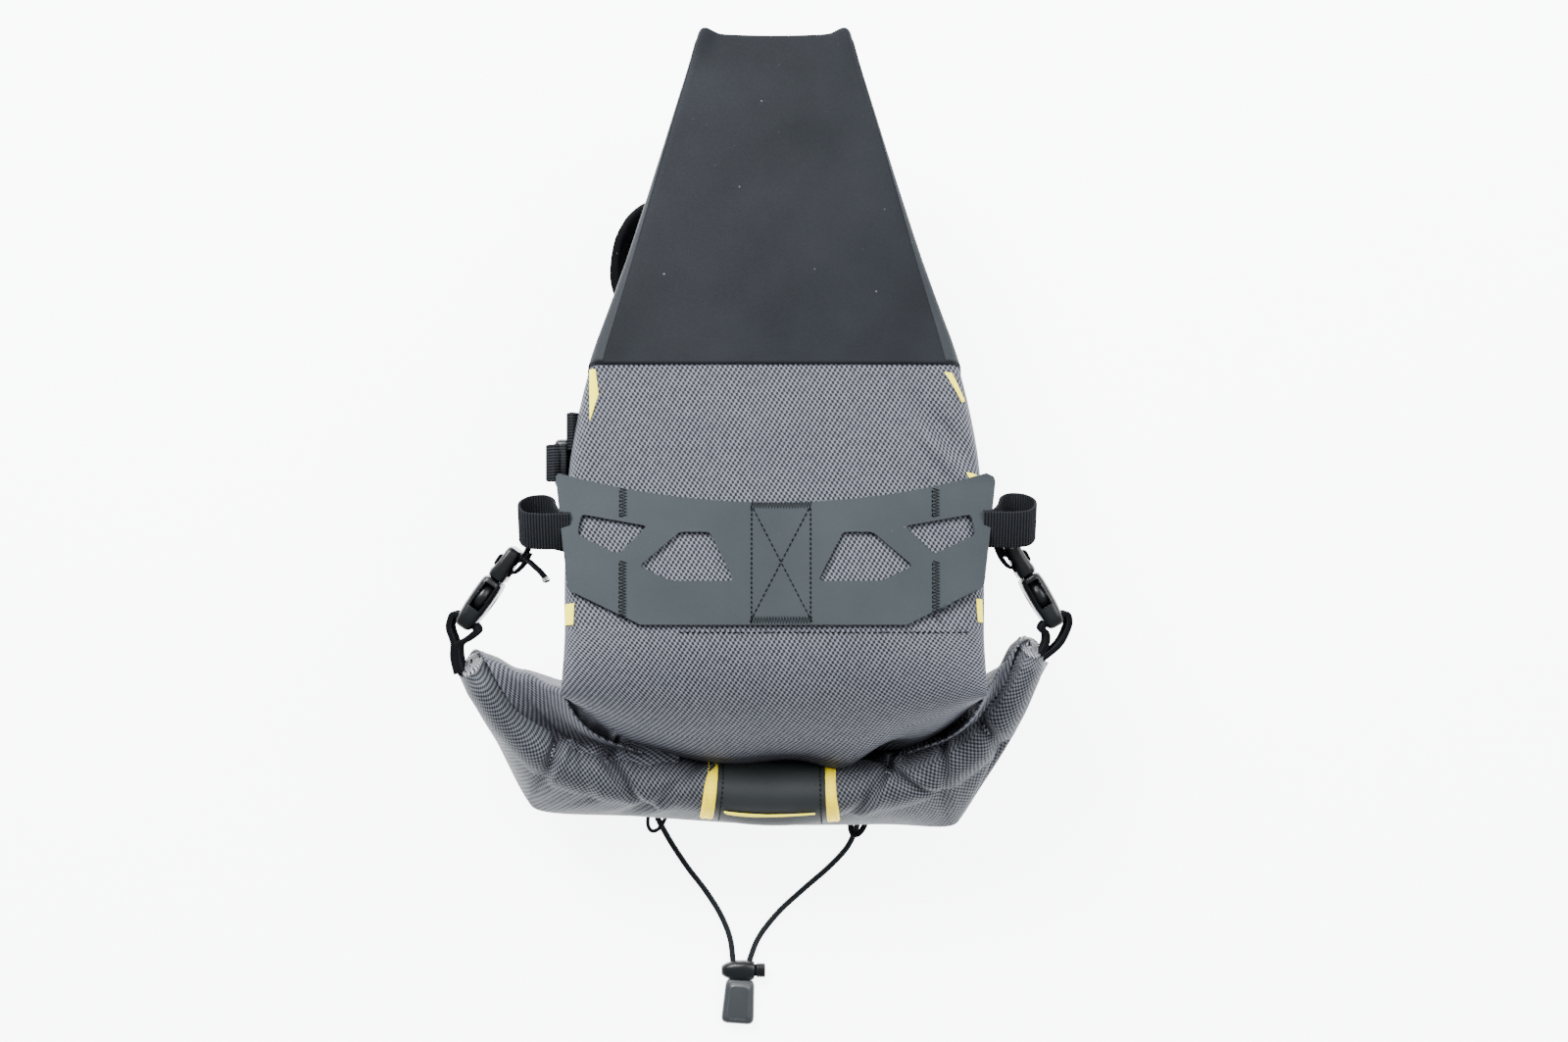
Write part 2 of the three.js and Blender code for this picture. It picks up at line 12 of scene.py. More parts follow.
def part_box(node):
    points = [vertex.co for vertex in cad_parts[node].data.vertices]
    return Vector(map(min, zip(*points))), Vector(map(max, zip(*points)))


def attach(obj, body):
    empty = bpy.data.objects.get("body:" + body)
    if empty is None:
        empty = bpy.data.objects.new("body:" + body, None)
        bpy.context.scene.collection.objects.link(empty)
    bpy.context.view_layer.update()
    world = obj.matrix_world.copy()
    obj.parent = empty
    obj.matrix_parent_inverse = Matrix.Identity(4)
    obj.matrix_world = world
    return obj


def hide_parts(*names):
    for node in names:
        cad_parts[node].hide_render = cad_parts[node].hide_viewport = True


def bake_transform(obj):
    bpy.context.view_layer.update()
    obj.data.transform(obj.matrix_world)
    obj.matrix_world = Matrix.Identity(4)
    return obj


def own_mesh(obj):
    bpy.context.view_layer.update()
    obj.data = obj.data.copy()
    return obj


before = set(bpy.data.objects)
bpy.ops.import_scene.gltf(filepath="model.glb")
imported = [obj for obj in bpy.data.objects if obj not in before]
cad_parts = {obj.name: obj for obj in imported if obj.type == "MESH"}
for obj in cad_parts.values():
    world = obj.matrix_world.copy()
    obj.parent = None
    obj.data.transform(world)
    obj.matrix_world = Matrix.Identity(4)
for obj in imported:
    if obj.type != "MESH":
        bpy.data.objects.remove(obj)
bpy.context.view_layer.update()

MM = 0.001
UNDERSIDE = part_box("underside_panel")
AXIS_X = (UNDERSIDE[0].x + UNDERSIDE[1].x) / 2


# ---- numbers and curves ----
def lerp(a, b, t):
    return a + (b - a) * t


def clamp(value, low=0.0, high=1.0):
    return max(low, min(high, value))


def smooth(value):
    value = clamp(value)
    return value * value * (3 - 2 * value)


def bell(away, wide=1.0):
    """1 in the middle, fading to almost nothing at twice the width."""
    return math.exp(-((away / wide) ** 2))


def hermite(start, leave, end, arrive, w):
    """A smooth way from start (w 0) to end (w 1) that leaves and arrives along the given vectors."""
    place = start * (2 * w ** 3 - 3 * w ** 2 + 1) + leave * (w ** 3 - 2 * w ** 2 + w)
    return place + end * (3 * w ** 2 - 2 * w ** 3) + arrive * (w ** 3 - w ** 2)


def metres(place):
    """A point in the frame's metres, from millimetres about the bag's middle plane."""
    return (AXIS_X + place[0] * MM, place[1] * MM, place[2] * MM)


def node_box(node):
    """The low and high corners of a CAD node, in millimetres about the bag's middle plane."""
    return [Vector(((corner.x - AXIS_X) / MM, corner.y / MM, corner.z / MM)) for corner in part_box(node)]


class Spline:
    """A centripetal Catmull-Rom curve through points in millimetres, like the frame's own curves."""

    def __init__(self, points):
        self.points = [Vector(p) for p in points]

    def at(self, t):
        points = self.points
        spans = len(points) - 1
        place = clamp(t) * spans
        index = min(int(place), spans - 1)
        p1, p2 = points[index], points[index + 1]
        p0 = points[index - 1] if index else p1 * 2 - p2
        p3 = points[index + 2] if index + 2 <= spans else p2 * 2 - p1
        d0, d1, d2 = [max((b - a).length ** 0.5, 1e-4) for a, b in ((p0, p1), (p1, p2), (p2, p3))]
        m1 = ((p1 - p0) / d0 - (p2 - p0) / (d0 + d1) + (p2 - p1) / d1) * d1
        m2 = ((p2 - p1) / d1 - (p3 - p1) / (d1 + d2) + (p3 - p2) / d2) * d1
        return hermite(p1, m1, p2, m2, place - index)

    def places(self, steps):
        return [self.at(i / steps) for i in range(steps + 1)]

    def tangent(self, t):
        step = 1e-3
        return (self.at(min(1, t + step)) - self.at(max(0, t - step))).normalized()

    def length(self, steps=200):
        places = self.places(steps)
        return sum((b - a).length for a, b in zip(places, places[1:]))


def noise_at(place, size, seed=0.0):
    """Soft noise from -1 to 1 with features of about the given size in millimetres."""
    return noise.noise(Vector(place) / size + Vector((seed, seed * 0.7, seed * 1.3)))


# ---- camera ----
CAMERA_HEIGHT = 1.3
CAMERA_OFFSET_X = 0.005
CAMERA_Y = -0.0435
LENS = 51.75


def make_camera():
    data = bpy.data.cameras.new("view")
    data.lens = LENS
    data.sensor_width = 36
    data.clip_end = 20
    camera = bpy.data.objects.new("view", data)
    camera.location = (AXIS_X + CAMERA_OFFSET_X, CAMERA_Y, CAMERA_HEIGHT)
    bpy.context.scene.collection.objects.link(camera)
    bpy.context.scene.camera = camera


# ---- building meshes ----
def build(name, vertices, faces, material, uvs=None, body="root"):
    """A mesh object from points in millimetres, with one uv pair in millimetres for each vertex."""
    mesh = bpy.data.meshes.new(name)
    mesh.from_pydata([metres(v) for v in vertices], [], faces)
    mesh.update()
    if uvs:
        layer = mesh.uv_layers.new(name="cloth")
        for loop in mesh.loops:
            across, along = uvs[loop.vertex_index]
            layer.data[loop.index].uv = (across * MM, along * MM)
    return dress(bpy.data.objects.new(name, mesh), material, body)


def dress(piece, material, body="root"):
    """Put a new object in the scene, smooth, with its material and on its body."""
    bpy.context.scene.collection.objects.link(piece)
    piece.data.materials.append(material)
    piece.data.polygons.foreach_set("use_smooth", [True] * len(piece.data.polygons))
    if body:
        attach(piece, body)
    return piece


def face_outward(piece):
    work = bmesh.new()
    work.from_mesh(piece.data)
    bmesh.ops.recalc_face_normals(work, faces=work.faces)
    work.to_mesh(piece.data)
    work.free()


def add_modifier(piece, kind, **settings):
    modifier = piece.modifiers.new(kind.lower(), kind)
    for key, value in settings.items():
        setattr(modifier, key, value)
    return modifier


def bevel(piece, width, segments, angle):
    """Round the edges that turn by more than the angle, by a width in millimetres."""
    angle = math.radians(angle)
    add_modifier(piece, "BEVEL", width=width * MM, segments=segments, limit_method="ANGLE", angle_limit=angle)


def apply_modifiers(piece):
    graph = bpy.context.evaluated_depsgraph_get()
    mesh = bpy.data.meshes.new_from_object(piece.evaluated_get(graph))
    piece.modifiers.clear()
    piece.data = mesh


def grid_sheet(name, point_at, columns, rows, material, thickness=0.0, body="root", lift=0.0):
    """A sheet through point_at(u, v), with uvs that follow its own lengths, thickened inwards."""
    places = [[point_at(i / columns, j / rows) for i in range(columns + 1)] for j in range(rows + 1)]
    uvs = sheet_uvs(places)
    vertices = [p for row in places for p in row]
    flat_uvs = [uv for row in uvs for uv in row]
    wide = columns + 1
    faces = []
    for j in range(rows):
        for i in range(columns):
            a = j * wide + i
            faces.append((a, a + 1, a + 1 + wide, a + wide))
    piece = build(name, vertices, faces, material, flat_uvs, body)
    if thickness:
        add_modifier(piece, "SOLIDIFY", thickness=thickness * MM, offset=-1 + 2 * lift)
    return piece


def sheet_uvs(places):
    rows, columns = len(places), len(places[0])
    middle = columns // 2
    along = [0.0]
    for j in range(1, rows):
        along.append(along[-1] + (places[j][middle] - places[j - 1][middle]).length)
    uvs = []
    for j in range(rows):
        across = [0.0]
        for i in range(1, columns):
            across.append(across[-1] + (places[j][i] - places[j][i - 1]).length)
        uvs.append([(value - across[middle], along[j]) for value in across])
    return uvs


def skin(rings, count, base=0):
    """Faces around a stack of rings of points, closed at both ends."""
    faces = []
    for k in range(rings - 1):
        for i in range(count):
            a, b = base + k * count + i, base + k * count + (i + 1) % count
            faces.append((a, b, b + count, a + count))
    last = base + (rings - 1) * count
    return faces + [tuple(reversed(range(base, base + count))), tuple(range(last, last + count))]


class Parts:
    """Vertices and faces of many small shapes that become one object."""

    def __init__(self):
        self.vertices, self.faces, self.uvs = [], [], []

    def add_tube(self, places, radii, sides=6):
        """A round tube with closed ends along a list of points."""
        self.faces += skin(len(places), sides, len(self.vertices))
        side = None
        run = 0.0
        for k, place in enumerate(places):
            before, after = places[max(0, k - 1)], places[min(len(places) - 1, k + 1)]
            tangent = (after - before).normalized()
            guide = side if side else (Vector((0, 0, 1)) if abs(tangent.z) < 0.9 else Vector((1, 0, 0)))
            side = (guide - tangent * guide.dot(tangent)).normalized()
            other = tangent.cross(side)
            run += (place - places[max(0, k - 1)]).length
            for i in range(sides):
                angle = 2 * math.pi * i / sides
                self.vertices.append(place + (side * math.cos(angle) + other * math.sin(angle)) * radii[k])
                self.uvs.append((angle * radii[k], run))

    def add_stitch(self, start, end, radius=0.42):
        places = [start.lerp(end, t) for t in (0, 0.18, 0.5, 0.82, 1)]
        self.add_tube(places, [radius * r for r in (0.35, 0.85, 1, 0.85, 0.35)])

    def add_seam(self, places, pitch=2.6, length=1.9, radius=0.42):
        """Separate stitches along a line of points."""
        for start, way in steps_along(places, pitch):
            self.add_stitch(start, start + way * length, radius)

    def add_zigzag(self, places, width, pitch, across, radius=0.38):
        points = []
        for index, (place, _tangent) in enumerate(steps_along(places, pitch)):
            points.append(place + across * (width / 2 if index % 2 else -width / 2))
        self.add_tube(points, [radius] * len(points))

    def object(self, name, material, body="root"):
        return build(name, self.vertices, self.faces, material, self.uvs, body)


def steps_along(places, pitch):
    """Points at an even pitch along a line of points, each with the line's direction there."""
    steps = []
    wanted = pitch / 2
    run = 0.0
    for a, b in zip(places, places[1:]):
        length = (b - a).length
        while length and wanted <= run + length:
            steps.append((a.lerp(b, (wanted - run) / length), (b - a).normalized()))
            wanted += pitch
        run += length
    return steps


def tube(name, places, radius, material, sides=12):
    parts = Parts()
    parts.add_tube(places, [radius] * len(places), sides)
    return parts.object(name, material)


# ---- materials ----
class Surface:
    """A material being put together, with a method for each kind of node that it uses."""

    def __init__(self, name):
        self.material = bpy.data.materials.new(name)
        self.material.use_nodes = True
        self.nodes = self.material.node_tree.nodes
        self.links = self.material.node_tree.links

    def feed(self, socket, value):
        """Give a socket another node's output, a colour or a number."""
        if hasattr(value, "links"):
            self.links.new(value, socket)
        else:
            socket.default_value = (*value, 1) if isinstance(value, tuple) else value

    def finish(self, values):
        for name, value in values.items():
            self.feed(self.nodes["Principled BSDF"].inputs[name], value)
        return self.material

    def cloth_uv(self):
        node = self.nodes.new("ShaderNodeUVMap")
        node.uv_map = "cloth"
        return node.outputs[0]

    def place(self):
        return self.nodes.new("ShaderNodeTexCoord").outputs["Object"]

    def maths(self, operation, *inputs):
        node = self.nodes.new("ShaderNodeMath")
        node.operation = operation
        for index, value in enumerate(inputs):
            self.feed(node.inputs[index], value)
        return node.outputs[0]

    def ramp(self, value, stops):
        node = self.nodes.new("ShaderNodeValToRGB")
        elements = node.color_ramp.elements
        for index, (place, colour) in enumerate(stops):
            element = elements[index] if index < 2 else elements.new(place)
            element.position = place
            element.color = (*colour, 1)
        self.feed(node.inputs[0], value)
        return node.outputs[0]

    def noise(self, vector, scale, detail):
        node = self.nodes.new("ShaderNodeTexNoise")
        for name, value in (("Scale", scale), ("Detail", detail), ("Vector", vector)):
            self.feed(node.inputs[name], value)
        return node.outputs["Fac"]

    def mix(self, blend, first, second):
        node = self.nodes.new("ShaderNodeMix")
        node.data_type = "RGBA"
        node.blend_type = blend
        for index, value in ((0, 1.0), (6, first), (7, second)):
            self.feed(node.inputs[index], value)
        return node.outputs[2]

    def bump(self, height, strength, distance):
        node = self.nodes.new("ShaderNodeBump")
        for name, value in (("Strength", strength), ("Distance", distance), ("Height", height)):
            self.feed(node.inputs[name], value)
        return node.outputs[0]

    def wave(self, vector, direction):
        """cos of the phase along a direction given in cycles per metre."""
        node = self.nodes.new("ShaderNodeVectorMath")
        node.operation = "DOT_PRODUCT"
        node.inputs[1].default_value = direction
        self.links.new(vector, node.inputs[0])
        return self.maths("COSINE", self.maths("MULTIPLY", node.outputs["Value"], 2 * math.pi))


# The weave's dark dots lie on this lattice: cycles per metre along its two directions.
WEAVE_DIRECTIONS = ((390, -216, 0), (375, 402, 0))
# Webbing has a rib every 1.5 mm and a weft thread every 0.9 mm.
RIB_PITCH, WEFT_PITCH = 0.0015, 0.0009
CORD_DIAMETER = 0.0034
BRAID_STRANDS, BRAID_CYCLES = 4, 420


def woven_material(name, thread, dot):
    surface = Surface(name)
    uv = surface.cloth_uv()
    wobble = surface.noise(uv, 260, 2)
    first, second = [surface.wave(uv, direction) for direction in WEAVE_DIRECTIONS]
    dots = surface.maths("ADD", first, second)
    dots = surface.maths("ADD", dots, surface.maths("MULTIPLY_ADD", wobble, 0.9, -0.45))
    level = surface.maths("MULTIPLY_ADD", dots, 0.25, 0.5)
    middle = tuple(lerp(a, b, 0.45) for a, b in zip(thread, dot))
    weave = surface.ramp(level, [(0.30, thread), (0.63, dot), (0.46, middle)])
    patches = surface.noise(uv, 26, 4)
    shade = surface.ramp(patches, [(0.25, (0.86, 0.86, 0.87)), (0.75, (1.0, 1.0, 1.0))])
    return surface.finish({
        "Base Color": surface.mix("MULTIPLY", weave, shade),
        "Roughness": 0.62,
        "Specular IOR Level": 0.06,
        "Normal": surface.bump(surface.maths("SUBTRACT", 1.0, level), 0.5, 0.0004),
    })


def grained_material(name, base, light, grain, roughness, bump, gloss):
    """A matt surface with fine grain, soft uneven shade and a few specks of lint."""
    surface = Surface(name)
    place = surface.place()
    fine = surface.noise(place, grain, 3)
    colour = surface.ramp(surface.noise(place, 18, 4), [(0.3, base), (0.75, light)])
    speck = surface.ramp(surface.noise(place, 420, 1), [(0.80, (0, 0, 0)), (0.86, (0.12, 0.12, 0.12))])
    return surface.finish({
        "Base Color": surface.mix("ADD", colour, speck),
        "Roughness": surface.maths("MULTIPLY_ADD", fine, 0.2, roughness - 0.1),
        "Specular IOR Level": gloss,
        "Normal": surface.bump(fine, bump, 0.0002),
    })


def threaded_material(surface, level, dark, light, roughness, strength, distance):
    """Webbing or cord, whose threads are raised and lit by one level."""
    return surface.finish({
        "Base Color": surface.ramp(level, [(0.1, dark), (0.9, light)]),
        "Roughness": roughness,
        "Specular IOR Level": 0.0,
        "Normal": surface.bump(level, strength, distance),
    })


def ribbed_material(name, dark, light):
    """Webbing: ribs run along its length, crossed by fine weft threads."""
    surface = Surface(name)
    uv = surface.cloth_uv()
    ribs = surface.wave(uv, (1 / RIB_PITCH, 0, 0))
    weft = surface.wave(uv, (0, 1 / WEFT_PITCH, 0))
    height = surface.maths("MULTIPLY_ADD", weft, 0.35, ribs)
    level = surface.maths("MULTIPLY_ADD", height, 0.35, 0.5)
    return threaded_material(surface, level, dark, light, 0.75, 0.7, 0.0005)


def braided_material(name, dark, light):
    surface = Surface(name)
    uv = surface.cloth_uv()
    turns = BRAID_STRANDS / (math.pi * CORD_DIAMETER)
    one, two = [surface.wave(uv, (turns, cycles, 0)) for cycles in (BRAID_CYCLES, -BRAID_CYCLES)]
    level = surface.maths("MULTIPLY_ADD", surface.maths("MULTIPLY", one, two), 0.5, 0.5)
    return threaded_material(surface, level, dark, light, 0.7, 0.6, 0.0003)


def metal_material(name):
    surface = Surface(name)
    scratch = surface.noise(surface.place(), 2500, 2)
    colour = surface.ramp(scratch, [(0.3, (0.45, 0.45, 0.45)), (0.7, (0.62, 0.62, 0.62))])
    return surface.finish({"Base Color": colour, "Metallic": 1, "Roughness": 0.3})


# Each grained material: its two colours, then its grain per metre, roughness, bump and gloss.
GRAINED = {
    "coated": ("coated_charcoal", (0.0042, 0.0056, 0.0078), (0.0095, 0.0112, 0.0146), 900, 0.7, 0.25, 0.13),
    # coated_edge_painted_highlight is a painted highlight: a paler, glossier copy of the coated panel for its
    # folded long edges.
    "coated_edge_painted_highlight": ("coated_rim_painted_highlight", (0.012, 0.015, 0.018), (0.018, 0.021, 0.025), 900, 0.7, 0.25, 0.2),
    "wing": ("wing_laminate", (0.025, 0.0305, 0.035), (0.034, 0.041, 0.046), 900, 0.72, 0.25, 0.12),
    "patch": ("patch_rubber", (0.013, 0.0155, 0.0165), (0.019, 0.022, 0.0235), 900, 0.62, 0.25, 0.12),
    "fuzz": ("hook_and_loop", (0.0025, 0.0025, 0.003), (0.006, 0.006, 0.007), 1600, 0.9, 0.8, 0.05),
    "plastic": ("black_plastic", (0.0035, 0.0042, 0.005), (0.0065, 0.0078, 0.009), 1500, 0.32, 0.12, 0.24),
    "grey_plastic": ("grey_plastic", (0.015, 0.018, 0.021), (0.023, 0.027, 0.031), 1500, 0.42, 0.15, 0.5),
    "yellow": ("yellow_trim", (0.86, 0.66, 0.0), (0.93, 0.74, 0.0), 700, 0.6, 0.15, 0.12),
    "pale_yellow": ("pale_yellow_print", (0.90, 0.77, 0.02), (0.95, 0.83, 0.04), 700, 0.65, 0.1, 0.1),
    "thread": ("black_thread", (0.001, 0.001, 0.0015), (0.0025, 0.0025, 0.003), 2600, 0.85, 0.4, 0.08),
    "sheet": ("stiffener_sheet", (0.42, 0.42, 0.40), (0.50, 0.50, 0.48), 600, 0.4, 0.1, 0.5),
    "pale_end": ("sealed_webbing_end", (0.34, 0.36, 0.36), (0.46, 0.48, 0.48), 1500, 0.5, 0.3, 0.5),
}
LOOK = {
    "weave": woven_material("two_tone_weave", (0.142, 0.149, 0.174), (0.014, 0.015, 0.020)),
    # Painted light: the roll is the shell's weave with a much lighter thread, so its shaded faces read
    # lighter.
    "roll": woven_material("roll_weave_painted_light", (0.40, 0.41, 0.44), (0.006, 0.007, 0.011)),
    # Painted shade: the outer layer over the roll is the shell's weave made darker, so its lit slope reads
    # shaded.
    "lining": woven_material("outer_layer_weave_painted_shade", (0.104, 0.112, 0.125), (0.010, 0.011, 0.015)),
    "webbing": ribbed_material("black_webbing", (0.0030, 0.0032, 0.0038), (0.0200, 0.0215, 0.0245)),
    "cord": braided_material("braided_cord", (0.006, 0.007, 0.0075), (0.030, 0.034, 0.036)),
    "steel": metal_material("spring_steel"),
    **{look: grained_material(*values) for look, values in GRAINED.items()},
}

# ---- free cord ----
CORD_Z = 2.1
LEFT_STRAND = [
    (-67.5, -213.5, 9), (-64, -221, 5), (-58.5, -231, CORD_Z), (-50, -243.5, CORD_Z), (-40, -256.5, CORD_Z),
    (-31, -271, CORD_Z), (-26, -284, CORD_Z), (-24.2, -298.4, CORD_Z),
]
RIGHT_STRAND = [
    (48, -213.5, 9), (46, -221, 5), (41.5, -231, CORD_Z), (31, -242.5, CORD_Z), (16, -255.5, CORD_Z),
    (1, -269.5, CORD_Z), (-10, -284, CORD_Z), (-15.6, -298.4, CORD_Z),
]


def make_cords(fittings):
    """The two free strands, from the bag's rings to the lock; the fittings argument is not used."""
    for side, route in (("left", LEFT_STRAND), ("right", RIGHT_STRAND)):
        curve = Spline(route)
        places = curve.places(36)
        piece = tube(f"shock_cord_{side}", places, CORD_DIAMETER / MM / 2, LOOK["cord"])
        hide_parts(f"cord_strand_{side}")
        path = [metres(p) for p in places]
        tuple(path[0])
        curve.length() * MM


# ---- stage ----
FLOOR_HALF = 6
FLOOR_DROP = 0.0003
FLOOR_GLOW = 6.5
WORLD_STRENGTH = 0.5
# Each light: its place, its size and its power.
LIGHTS = {"key": ((-0.7, 1.2, 1.5), 0.9, 135), "fill": ((1.2, 0.6, 1.6), 1.4, 60)}


def make_stage():
    mesh = bpy.data.meshes.new("floor")
    corners = [(FLOOR_HALF * x, FLOOR_HALF * y, 0) for x, y in ((-1, -1), (1, -1), (1, 1), (-1, 1))]
    mesh.from_pydata(corners, [], [(0, 1, 2, 3)])
    mesh.materials.append(Surface("pale_floor").finish({
        "Base Color": (0.93, 0.945, 0.95),
        "Roughness": 0.9,
        "Emission Color": (0.97, 0.99, 1.0),
        "Emission Strength": FLOOR_GLOW,
    }))
    floor = bpy.data.objects.new("floor", mesh)
    bpy.context.scene.collection.objects.link(floor)
    floor.location.z = -FLOOR_DROP
    world = bpy.data.worlds.new("studio")
    world.use_nodes = True
    background = world.node_tree.nodes["Background"]
    background.inputs["Color"].default_value = (0.95, 0.98, 1.0, 1)
    background.inputs["Strength"].default_value = WORLD_STRENGTH
    bpy.context.scene.world = world
    for name, (place, size, power) in LIGHTS.items():
        light = bpy.data.objects.new(name, bpy.data.lights.new(name, "AREA"))
        light.data.size = size
        light.data.energy = power
        light.location = place
        light.rotation_euler = (-Vector(place)).to_track_quat("-Z", "Y").to_euler()
        bpy.context.scene.collection.objects.link(light)


# ---- shell ----
NOSE_Y, REAR_Y, TOP_FRONT_Y, TOP_REAR_Y = 212, -133.5, 78.5, -138
NOSE_Z, REAR_Z, TOP_Z = 120, 149, 4.4
NOSE_HALF_WIDTH, REAR_HALF_WIDTH = 39.5, 109
TAPER, TAPER_BLEND = 0.302, 22
TOP_FRONT_HALF_WIDTH, TOP_REAR_HALF_WIDTH = 50, 99
CROWN, SIDE_BULGE, SIDE_FLARE, REAR_BULGE = 3, 7, 5, 39
REINFORCED_TO = 0.505


def underside_half_width(s):
    tapered = NOSE_HALF_WIDTH + TAPER * s * (NOSE_Y - REAR_Y)
    share = clamp(0.5 + 0.5 * (REAR_HALF_WIDTH - tapered) / TAPER_BLEND)
    return lerp(REAR_HALF_WIDTH, tapered, share) - TAPER_BLEND * share * (1 - share)


def side_half_width(s, b):
    bulge = SIDE_BULGE * math.sin(math.pi * clamp(b)) * math.sin(math.pi * clamp(s))
    bulge += SIDE_FLARE * bell(s - 0.58, 0.17) * smooth(b * 2)
    return lerp(lerp(TOP_FRONT_HALF_WIDTH, TOP_REAR_HALF_WIDTH, s), underside_half_width(s), b) + bulge


def shell_place(side, s, b):
    """A point of the shell from side (-1 to 1), s (nose 0 to rear 1) and b (top 0 to underside 1)."""
    y = lerp(lerp(TOP_FRONT_Y, TOP_REAR_Y, s), lerp(NOSE_Y, REAR_Y, s), b)
    z = lerp(TOP_Z, lerp(NOSE_Z, REAR_Z, s), b)
    return Vector((side * side_half_width(s, b), y, z))


def edge_radius(s):
    """How softly the long edges turn: crisp under the coated nose, full where the cloth is bare."""
    return lerp(3.0, 12.0, smooth((s - 0.45) / 0.14)) - 6.0 * smooth((s - 0.9) / 0.1)


def top_share(s):
    """The share of the height at which the side wall turns into the underside."""
    return 1 - edge_radius(s) / (lerp(NOSE_Z, REAR_Z, s) - TOP_Z)


def rear_share(side):
    """The share of the height at which the rear wall turns into the underside."""
    return 1 - lerp(6.0, 34.0, 1 - abs(side) ** 3) / (REAR_Z - TOP_Z)


ROLL_OVER_FROM = 0.9
CREASE_X, CREASE_Y = 84.6, -7.6
CREASE_COS, CREASE_SIN = 0.737, 0.676


def shoulder_crease(place):
    """The height of a soft crease that runs back over the right shoulder, a dent and a ridge beside it."""
    x, y = place.x - CREASE_X, place.y - CREASE_Y
    across = x * CREASE_COS + y * CREASE_SIN
    along = x * CREASE_SIN - y * CREASE_COS
    crease = bell(across, 4.5) * bell(along, 20)
    dent = bell(across - 9, 6) * bell(along, 22)
    second = bell(across + 13, 5) * bell(along + 6, 18)
    return 4.2 * crease - 5.2 * dent + 1.4 * second


def underside_place(side, s):
    """A point of the soft underside, which turns over into the rear wall behind ROLL_OVER_FROM."""
    if s > ROLL_OVER_FROM:
        return rolled_over(side, (s - ROLL_OVER_FROM) / (1 - ROLL_OVER_FROM))
    edge = shell_place(math.copysign(1, side), s, top_share(s))
    half = abs(edge.x)
    radius = edge_radius(s)
    inward = (1 - abs(side)) * half
    drop = radius - math.sqrt(max(0.0, radius ** 2 - max(0.0, radius - inward) ** 2))
    y = lerp(lerp(NOSE_Y, REAR_Y, s), edge.y, drop / radius)
    place = Vector((side * half, y, lerp(NOSE_Z, REAR_Z, s)))
    place.z += CROWN * (1 - side * side) * math.sin(math.pi * clamp(s)) - drop
    place.z += shoulder_crease(place) * (1 - abs(side) ** 8)
    corner = bell(abs(side) - 0.9, 0.12) * bell(s, 0.03)
    place += Vector((0, 2.6, 1.6)) * corner - Vector((0, 1.6, 0)) * bell(s, 0.02) * (1 - side * side)
    place.z += 1.2 * noise_at(place, 48, 3.1) * (1 - side * side) * smooth((s - 0.5) * 8)
    return place


def rolled_over(side, w):
    start, end = underside_place(side, ROLL_OVER_FROM), rear_place(side, rear_share(side))
    reach = (end - start).length * 1.15
    leave = (start - underside_place(side, ROLL_OVER_FROM - 0.01)).normalized()
    arrive = (rear_place(side, rear_share(side) - 0.01) - end).normalized()
    return hermite(start, leave * reach, end, arrive * reach, w)


def rear_place(side, b):
    """A point of the rear wall, which swells outwards and carries two soft folds at the right."""
    place = shell_place(side, 1, b)
    place.y -= REAR_BULGE * max(0.0, 1 - abs(side) ** 3.2) ** 0.55 * math.sin(math.pi * b ** 0.9)
    soft = (1 - side * side) * math.sin(math.pi * b) ** 2
    place.y += 1.5 * math.sin(side * 9 + 1.5 * b) * soft
    slant = place.x - 60 * (b - 0.55)
    place.y += 9 * bell(slant - 56, 11) * bell(b - 0.52, 0.15)
    place.y -= 4 * bell(slant - 34, 12) * bell(b - 0.56, 0.15)
    return place


def side_place(side, s, v):
    """A point of a side wall, from the top panel (v 0) to where the underside starts (v 1)."""
    share = top_share(s)
    meet = underside_place(side, s) - shell_place(side, s, share)
    return shell_place(side, s, v * share) + meet * v ** 4


def nose_wall_place(side, v):
    share = lerp(1, top_share(0), abs(side) ** 8)
    meet = underside_place(side, 0) - shell_place(side, 0, share)
    return shell_place(side, 0, v * share) + meet * v ** 4


SHELL_ACROSS, SHELL_ALONG, SHELL_UP = 120, 120, 50


def shell_grids():
    """The six faces of the shell as grids that share their edges, each turned to face outwards."""
    across = [math.sin(math.pi * (i / SHELL_ACROSS - 0.5)) for i in range(SHELL_ACROSS + 1)]
    along = [i / SHELL_ALONG for i in range(SHELL_ALONG + 1)]
    up = [i / SHELL_UP for i in range(SHELL_UP + 1)]
    yield [[underside_place(x, s) for x in across] for s in reversed(along)]
    yield [[shell_place(x, s, 0) for x in across] for s in along]
    yield [[nose_wall_place(x, v) for x in reversed(across)] for v in up]
    yield [[rear_place(x, v * rear_share(x)) for x in across] for v in up]
    yield [[side_place(-1, s, v) for s in along] for v in up]
    yield [[side_place(1, s, v) for s in reversed(along)] for v in up]


def flat_uvs(places):
    """Uvs of a nearly flat grid, from two directions that lie in it, so that the weave stays straight."""
    middle = places[len(places) // 2]
    u_axis = (middle[-1] - middle[0]).normalized()
    column = [row[len(row) // 2] for row in places]
    v_axis = column[-1] - column[0]
    v_axis = (v_axis - u_axis * v_axis.dot(u_axis)).normalized()
    return [[(p.dot(u_axis), p.dot(v_axis)) for p in row] for row in places]


